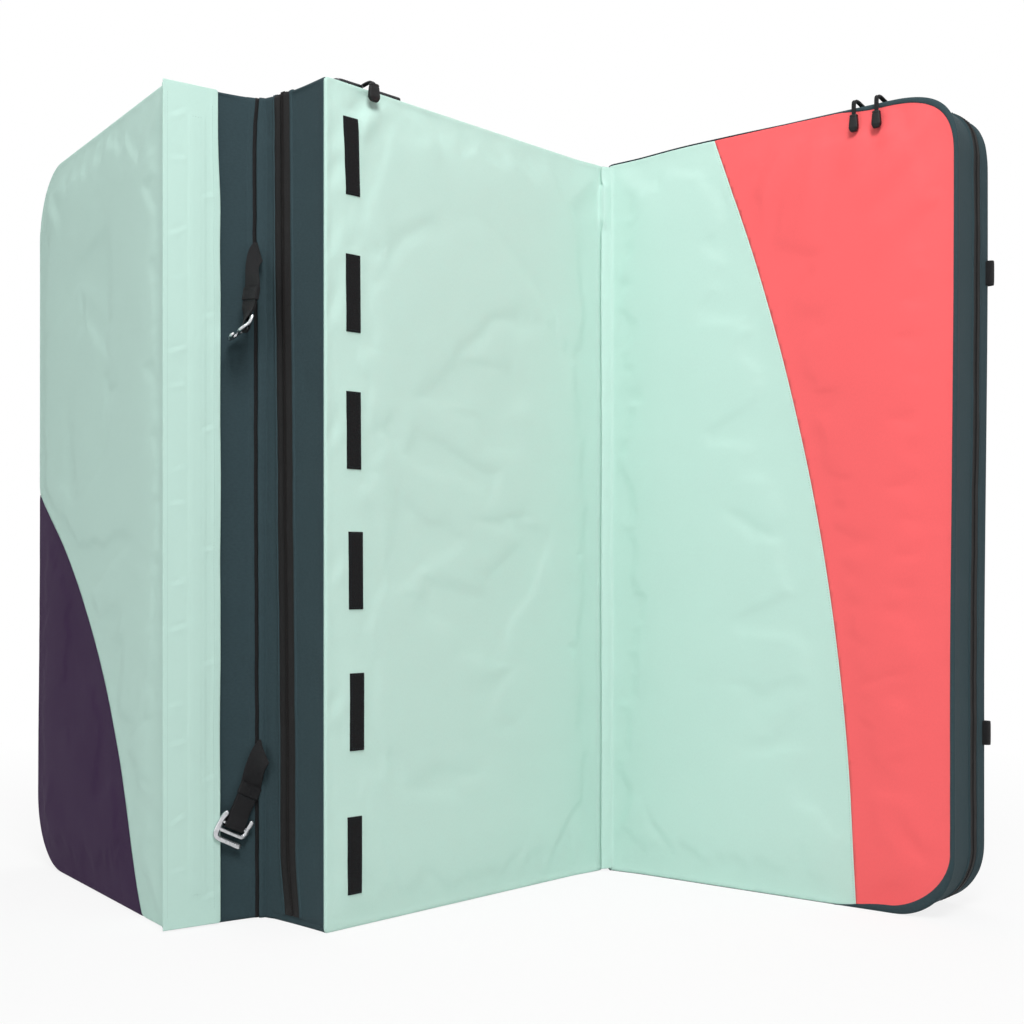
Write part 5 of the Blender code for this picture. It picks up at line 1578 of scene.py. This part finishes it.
WEBBING_WIDTH, ANCHOR_WIDTH, WEBBING = 0.025, 0.030, 0.0018
HOOK_BAR, HOOK_PLATE, SEAT = 0.0042, 0.004, 0.0003
LAYER = SEAT / 2 + WEBBING / 2
WRAP = math.hypot(HOOK_BAR / 2, HOOK_PLATE / 2) + SEAT + WEBBING / 2
WRAP_ANGLES = (-60, -100, -140, -180, -220, -260, -300)
WALL_X = -OUTER_GAP
HOOK_TIP = ((13.2, 5.6, 1.2, 0.9), (12.6, 5.3, 2.3, 1.6), (10.4, 4.0, 3.2, 2.1), (7.0, 1.9, 3.5, 2.3),
            (3.4, 0.4, 3.4, 2.2), (0.0, 0.0, 3.4, 2.1))
HOOK_PATHS = (
    tuple((-18.25 + 0.35 * (row[0] > 9.0), *row) for row in HOOK_TIP) + (
        (-18.4, -5.0, 0, 3.9, 2.1), (-18.4, -10.5, 0, 4.2, 2.1), (-18.2, -15.5, 0, 3.9, 2.1),
        (-16.6, -18.8, 0, 3.5, 2.1), (-13.0, -20.2, 0, 3.2, 2.1), (-7.0, -20.5, 0, 3.1, 2.1), (6.0, -20.6, 0, 3.2, 2.1),
        (13.0, -20.6, 0, 3.5, 2.1), (17.2, -20.4, 0, 3.2, 2.0), (19.6, -20.2, 0, 1.5, 1.1)),
    tuple((18.25 - 0.35 * (row[0] > 9.0), *row) for row in HOOK_TIP) + (
        (18.2, -4.4, 0, 3.4, 2.1), (17.2, -7.2, 0, 3.2, 2.1), (14.8, -9.0, 0, 2.9, 2.1),
        (9.0, -9.6, 0, 2.6, 2.05), (-17.0, -9.6, 0, 2.6, 2.05)),
    ((-17.5, 0, 0, 2.1, 1.95), (0, 0, 0, 2.05, 1.9), (17.5, 0, 0, 2.1, 1.95)),
)


def hook(node, place, matrix, body, look="aluminium"):
    """A forged aluminium hook: rounded arms with raised tips, a bar for the webbing and an open mouth."""
    points, faces = [], []
    face_out = Vector((0.0, 0.0, 1.0))
    for path in HOOK_PATHS:
        rows = smooth_line([[value * 0.001 for value in row] for row in path], 0.0009)
        loops = []
        for index, row in enumerate(rows):
            along = direction(rows, index)
            side = along.cross(face_out).normalized()
            upper = side.cross(along).normalized()
            loop = []
            for step in range(18):
                angle = 2 * math.pi * step / 18
                c, s = math.cos(angle), math.sin(angle)
                u = squared(c, 0.72) * row[3]
                w = squared(s, 0.72) * row[4]
                loop.append(place @ (Vector(row[:3]) + side * u + upper * w))
            loops.append(loop)
        first = len(points)
        points += [point for loop in loops for point in loop]
        faces += [tuple(first + k for k in face) for face in loops_mesh(loops)]
    item = build(node + "_casting", points, faces, [(p.x + p.y, p.z) for p in points], look, matrix, body)
    face_outwards(item)
    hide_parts(node)


def folded_band(name, place, start, tops, roots, spread, matrix, body):
    """Webbing that leaves the fold's seam and folds over on the slant to hang down to its hook."""
    up, across = place.to_3x3().col[1], place.to_3x3().col[0]
    columns = [-1.0, -0.92, -0.7, -0.35, 0.0, 0.35, 0.7, 0.92, 1.0]
    rows = [[] for _ in range(33)]
    for u in columns:
        share = (u + 1.0) / 2.0
        low = place @ Vector((u * WEBBING_WIDTH / 2, start, -LAYER))
        top = tops[0].lerp(tops[1], share)
        root = roots[0].lerp(roots[1], share)
        reach = (top - low).length
        leave = (up + across * (u * spread)).normalized() * (reach * 1.1)
        arrive = (top - low).normalized().lerp((tops[2]).normalized(), 0.55) * reach * 1.1
        for step in range(25):
            t = step / 24
            h = (2 * t ** 3 - 3 * t ** 2 + 1, t ** 3 - 2 * t ** 2 + t, -2 * t ** 3 + 3 * t ** 2, t ** 3 - t ** 2)
            rows[step].append(low * h[0] + leave * h[1] + top * h[2] + arrive * h[3])
        onward = arrive.normalized()
        back = (root - top).normalized()
        rows[25].append(top + onward * 0.0010 + back * 0.0004)
        rows[26].append(top + onward * 0.0009 + back * 0.0016)
        for number, step in enumerate(range(27, 33)):
            t = (number + 0.6) / 5.6
            rows[step].append((top + back * 0.0020).lerp(root, t))
    points = [point for row in rows for point in row]
    uvs, run = [], 0.0
    middle = len(columns) // 2
    for index, row in enumerate(rows):
        run += (row[middle] - rows[index - 1][middle]).length if index else 0.0
        uvs += [(u * WEBBING_WIDTH / 2, run) for u in columns]
    item = build(name, points, grid_faces(len(rows), len(columns)), uvs, "webbing", matrix, body)
    thicken(item, WEBBING, 0.0, levels=1)
    return item


def strap_frame(bar, across, along):
    """Axes of a strap at its hook's bar: across it, along it away from the hook, and outwards."""
    across = across.normalized()
    along = (along - across * along.dot(across)).normalized()
    axes = Matrix((across, along, across.cross(along))).transposed().to_4x4()
    return Matrix.Translation(bar) @ axes


def turned(place, along, twist):
    """A strap's frame at a distance from its hook's bar, turned about its length as the strap twists."""
    return place @ Matrix.Rotation(twist * smoothstep((along - 0.005) / 0.024), 4, "Y")


def strap(label, place, roots, tail, keeper_at, matrix, body, twist=0.0, keeper_half=0.0050):
    """Webbing from its root, round the hook's bar and back, with its keeper and sewing."""
    across = place.to_3x3().col[0]
    stations = [(Vector(centre), Vector(way)) for centre, way in roots]
    for along, out in ((0.024, -LAYER), (0.016, -LAYER), (0.007, -0.62 * WRAP)):
        here = turned(place, along, twist)
        stations.append((here @ Vector((0.0, along, out)), here.to_3x3().col[0]))
    for degrees in WRAP_ANGLES:
        angle = math.radians(degrees)
        stations.append((place @ Vector((0.0, WRAP * math.cos(angle), WRAP * math.sin(angle))), across))
    for along, out in ((0.007, 0.62 * WRAP), (0.016, LAYER), (0.024, LAYER), (tail, LAYER)):
        here = turned(place, along, twist)
        stations.append((here @ Vector((0.0, along, out)), here.to_3x3().col[0]))
    item = ribbon(f"{label}_band", stations, WEBBING_WIDTH, WEBBING, "webbing", matrix, body, step=0.002,
                  ripple=0.0003)
    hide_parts(f"{label}_webbing")
    half = WEBBING_WIDTH / 2 - BOX_MARGIN
    lift = LAYER + WEBBING / 2 + 0.0001
    foot, head = tail - 0.014, tail - BOX_MARGIN
    marks = []
    upper = turned(place, tail, twist)
    for (u0, v0), (u1, v1) in boxed(-half, half, foot, head):
        line = [upper @ Vector((u0, v0, lift)), upper @ Vector((u1, v1, lift))]
        marks += marks_along(line, [upper.to_3x3().col[2]], pitch=BOX_PITCH)
    stitches(f"{label}_box_stitch", marks, "dark_thread", matrix, body)
    if keeper_at is None:
        return
    loops = []
    for along, grow in ((-keeper_half, 0.0), (-keeper_half, 0.0011), (keeper_half, 0.0011), (keeper_half, 0.0)):
        half_width = WEBBING_WIDTH / 2 + SEAT + grow
        half_depth = WEBBING + 1.5 * SEAT + grow
        loop = []
        for step in range(32):
            angle = 2 * math.pi * (step + 0.5) / 32
            c, s = math.cos(angle), math.sin(angle)
            u = squared(c, 0.25) * half_width
            w = squared(s, 0.45) * half_depth
            loop.append(upper @ Vector((u, keeper_at + along, w)))
        loops.append(loop)
    points = [p for loop in loops for p in loop]
    uvs = []
    for index in range(4):
        uvs += [(step * 0.0018, (-1.0, -0.9, 0.9, 1.0)[index] * keeper_half) for step in range(32)]
    keeper = build(f"{label}_keeper_sleeve", points, loops_mesh(loops, ring=True), uvs, "webbing", matrix, body)
    round_edges(keeper, 0.0003, 2)
    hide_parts(f"{label}_keeper")


def straps():
    """Two side straps out of the outer fold, two more across the middle panel's top wall."""
    # Lower strap: tilted in the wall's plane
    flap_front = WALL_X + SEAT + 0.0015
    tilt = math.radians(26)
    bar = Vector((flap_front + 2 * SEAT + HOOK_PLATE / 2, 0.0862, 0.1166))
    across = Vector((0.0, math.cos(tilt), -math.sin(tilt)))
    place = strap_frame(bar, across, Vector((0.0, math.sin(tilt), math.cos(tilt))))
    roots = [(place @ Vector((0.0, 0.0470, -LAYER)), across)]
    strap("lower_strap", place, roots, 0.0500, 0.0450, STAND["outer"], "lower_strap", keeper_half=0.0070)
    tops = (Vector((WALL_X + 0.0060, 0.1165, 0.2170)), Vector((WALL_X + 0.0240, 0.1215, 0.1900)),
            Vector((0.1, 0.9, 0.6)))
    roots = (Vector((WALL_X + 0.0045, 0.1215, 0.2190)), Vector((WALL_X + 0.0060, 0.1225, 0.1960)))
    folded_band("lower_strap_fold", place, 0.0440, tops, roots, 0.22, STAND["outer"], "lower_strap")
    hook("lower_strap_hook", place, STAND["outer"], "lower_hook")

    # Upper strap: turned off the wall and twisted, its hook hanging forward
    yaw, droop, twist = math.radians(20), math.radians(56), math.radians(32)
    bar = Vector((WALL_X + 0.027, 0.0905, HEIGHT - 0.287))
    across = Vector((math.cos(yaw), -math.sin(yaw), 0.0))
    place = strap_frame(bar, across, Vector((0.0, 0.17, 1.0)))
    upper = turned(place, 0.040, twist)
    roots = [(upper @ Vector((0.0, 0.0430, -LAYER)), upper.to_3x3().col[0])]
    strap("upper_strap", place, roots, 0.0460, 0.0410, STAND["outer"], "upper_strap", twist=twist, keeper_half=0.0075)
    tops = (Vector((WALL_X + 0.0060, 0.1100, 0.8200)), Vector((WALL_X + 0.0180, 0.1160, 0.7960)),
            Vector((-0.3, 1.0, 0.35)))
    roots = (Vector((WALL_X + 0.0030, 0.1180, 0.8230)), Vector((WALL_X + 0.0040, 0.1215, 0.8030)))
    folded_band("upper_strap_fold", upper, 0.0400, tops, roots, 0.15, STAND["outer"], "upper_strap")
    hook_place = strap_frame(bar, across, Vector((0.0, math.sin(droop), math.cos(droop))))
    hook("upper_strap_hook", hook_place, STAND["outer"], "upper_hook")

    # Top straps: flat on the middle panel's top wall
    across = Vector((1.0, 0.0, 0.0))
    level = HEIGHT + SEAT + WEBBING / 2
    for label, x in (("first_top_strap", 0.044), ("second_top_strap", 0.104)):
        place = strap_frame(Vector((x, 0.034, HEIGHT + SEAT + HOOK_PLATE / 2)), across, Vector((0.0, 1.0, 0.0)))
        roots = [(Vector((x, 0.1165, level - 0.0010)), across), (Vector((x, 0.104, level)), across),
                 (Vector((x, 0.068, level + 0.0003)), across)]
        strap(label, place, roots, 0.030, None, STAND["middle"], label)
        hook(label + "_hook", place, STAND["middle"], label.replace("_strap", "_hook"), look="dark_aluminium")


# Anchor loops and harness of the inner panel

def anchors():
    """Short webbing loops sewn into the far edge, for the hooks."""
    edge = INNER.start + WIDTH
    line = ((-0.0080, 0.1148), (-0.0020, 0.1146), (0.0015, 0.1142), (0.0046, 0.1136), (0.0064, 0.1118),
            (0.0064, 0.1084), (0.0046, 0.1066), (0.0015, 0.1060), (-0.0030, 0.1058))
    for name, z in (("lower_anchor_loop", 0.220), ("upper_anchor_loop", HEIGHT - 0.206)):
        stations = [(Vector((edge + x, y, z)), Vector((0.0, 0.0, 1.0))) for x, y in line]
        item = ribbon(name + "_band", stations, ANCHOR_WIDTH, WEBBING, "webbing", STAND["inner"], "inner_panel", 0.001)
        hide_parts(name)


SHOULDER_TOP, SHOULDER_LENGTH, SHOULDER_HALF, SHOULDER_THICK = HEIGHT - 0.240, 0.400, 0.034, 0.012
SHOULDER_WIDTHS = ((0.0, 0.55), (0.06, 0.80), (0.2, 1.0), (0.5, 1.0), (0.8, 0.92), (0.94, 0.75), (1.0, 0.50))
HARNESS_LENGTH, LOCK_HEIGHT, LOCK_HALF = 0.180, 0.032, 0.0165


def shoulder_width(share):
    """A shoulder strap's width at a share of its length, against its widest."""
    for (s0, w0), (s1, w1) in zip(SHOULDER_WIDTHS, SHOULDER_WIDTHS[1:]):
        if share <= s1:
            return w0 + (w1 - w0) * smoothstep((share - s0) / (s1 - s0))
    return SHOULDER_WIDTHS[-1][1]


def shoulder_strap(side, x, outward, ground):
    """A padded strap with bound edges and a webbing band sewn down its middle."""
    loops, edges, marks = [], ([], []), []
    steps = 70
    for step in range(steps + 1):
        share = step / steps
        z = SHOULDER_TOP - share * SHOULDER_LENGTH
        middle = x + outward * 0.012 * math.sin(math.pi * share)
        half = SHOULDER_HALF * shoulder_width(share)
        thick = SHOULDER_THICK * (0.72 + 0.28 * smoothstep(min(share, 1 - share) / 0.15))
        base = ground.at(middle - INNER.start, z).y + 0.0002
        puff = 1.0 + 0.05 * wave(z * 45.0, x * 3.0, 0.0)
        loop = []
        for k in range(21):
            u = -1.0 + 2.0 * k / 20
            dome = thick * puff * (1.0 - abs(u) ** 3.2) ** 0.5
            quilt = 0.0014 * math.exp(-((abs(u) - 0.42) / 0.05) ** 2)
            loop.append(Vector((middle + half * u, base + max(0.0025, dome - quilt), z)))
        loop += [Vector((middle + half * u, base, z)) for u in (1.0, 0.5, 0.0, -0.5, -1.0)]
        loops.append(loop)
        for sign, edge in zip((-1.0, 1.0), edges):
            edge.append(Vector((middle + sign * half, base + 0.0022, z)))
    name = f"{side}_shoulder_strap"
    pad = skin(name + "_pad", loops, "slate", STAND["inner"], "inner_panel")
    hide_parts(name)
    for number, edge in enumerate(edges):
        stations = [(point, Vector((0.0, 1.0, 0.0))) for point in edge[::2]]
        ribbon(f"{side}_shoulder_binding_{number + 1}", stations, 0.0055, 0.0024, "zip", STAND["inner"],
               "inner_panel", step=0.006)
    band = []
    for step in range(3, steps - 1, 2):
        top = loops[step][10]
        band.append((top + Vector((0.0, 0.0010, 0.0)), Vector((1.0, 0.0, 0.0))))
    ribbon(f"{side}_shoulder_band", band, WEBBING_WIDTH * 0.8, 0.0014, "webbing", STAND["inner"], "inner_panel",
           step=0.006)
    for sign in (-1.0, 1.0):
        line = [place + Vector((sign * 0.0085, 0.0008, 0.0)) for place, _ in band]
        marks += marks_along(line, [(0.0, 1.0, 0.0)] * len(line))
    stitches(f"{side}_shoulder_stitches", marks, "dark_thread", STAND["inner"], "inner_panel")


def ladder_lock(side, x, top, ground):
    """An adjuster: two side rails, three bars and a lifting lip."""
    base = ground.at(x - INNER.start, top - 0.016).y + WEBBING + SEAT
    rail = LOCK_HALF - 0.0040
    foot = top - LOCK_HEIGHT
    parts = []
    for low, high in ((-LOCK_HALF, -rail), (rail, LOCK_HALF)):
        outline = [(x + low, foot + 0.002), (x + high, foot), (x + high, top), (x + low, top - 0.002)]
        parts.append(prism(outline, base, base + 0.0046, order="xzy"))
    for low, high, near, far in ((0.0, 0.0042, 0.0012, 0.0058), (0.0115, 0.0155, 0.0, 0.0034),
                                 (0.0205, 0.0240, 0.0, 0.0034), (0.0282, 0.0320, 0.0, 0.0046)):
        outline = [(x - rail - 0.001, foot + low), (x + rail + 0.001, foot + low), (x + rail + 0.001, foot + high),
                   (x - rail - 0.001, foot + high)]
        parts.append(prism(outline, base + near, base + far, order="xzy"))
    item = assemble(f"{side}_ladder_lock_frame", parts, "plastic", STAND["inner"], "inner_panel", bevel=0.0007)
    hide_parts(f"{side}_ladder_lock")


def harness(ground):
    """Shoulder straps, their lower webbing with ladder locks, and the haul loop."""
    middle = INNER.start + WIDTH / 2
    across = Vector((1.0, 0.0, 0.0))
    foot = SHOULDER_TOP - SHOULDER_LENGTH
    for side, sign in (("left", -1.0), ("right", 1.0)):
        x = middle + sign * 0.105
        shoulder_strap(side, x, sign, ground)
        stations = []
        for drop in (-0.010, 0.0, 0.010, 0.030, 0.060, 0.100, 0.140, HARNESS_LENGTH - 0.006, HARNESS_LENGTH):
            z = foot - drop
            lift = 0.0010 + 0.0012 * math.exp(-((drop - 0.016) / 0.010) ** 2)
            lift += 0.0008 * abs(wave(drop * 22.0, sign, 0.0)) * (drop < HARNESS_LENGTH - 0.02)
            stations.append((ground.at(x - INNER.start, z, lift), across))
        item = ribbon(f"{side}_harness_band", stations, WEBBING_WIDTH, WEBBING, "webbing", STAND["inner"],
                      "inner_panel", step=0.004, ripple=0.0002)
        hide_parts(f"{side}_harness_webbing")
        marks = []
        tack = foot - HARNESS_LENGTH + 0.004
        half = WEBBING_WIDTH / 2 - BOX_MARGIN
        for (u0, v0), (u1, v1) in boxed(-half, half, 0.0, 0.018):
            line = [ground.at(x - INNER.start + u, tack + v, 0.0021) for u, v in ((u0, v0), (u1, v1))]
            marks += marks_along(line, [(0.0, 1.0, 0.0)], pitch=BOX_PITCH)
        stitches(f"{side}_harness_stitches", marks, "dark_thread", STAND["inner"], "inner_panel")
        ladder_lock(side, x, foot, ground)
    height = HEIGHT - 0.140
    stations = []
    for share in np.linspace(-1.0, 1.0, 17):
        lift = 0.0012 + 0.0060 * smoothstep((0.74 - abs(share)) / 0.5)
        place = ground.at(middle - INNER.start + 0.075 * share, height, lift)
        stations.append((place, Vector((0.0, 0.0, 1.0))))
    item = ribbon("haul_loop_band", stations, WEBBING_WIDTH, WEBBING, "webbing", STAND["inner"], "inner_panel",
                  step=0.004, ripple=0.0004)
    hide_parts("haul_loop")
    marks = []
    for sign in (-1.0, 1.0):
        for (u0, v0), (u1, v1) in boxed(0.057, 0.072, -0.0095, 0.0095):
            line = [ground.at(middle - INNER.start + sign * u, height + v, 0.0023) for u, v in ((u0, v0), (u1, v1))]
            marks += marks_along(line, [(0.0, 1.0, 0.0)], pitch=BOX_PITCH)
    stitches("haul_loop_stitches", marks, "dark_thread", STAND["inner"], "inner_panel")


studio()
COVERS = panels()
bridges()
flap()
flap_root(COVERS["outer"])
patches(COVERS["middle"])
zips()
pulls()
straps()
anchors()
harness(COVERS["inner_ground"])
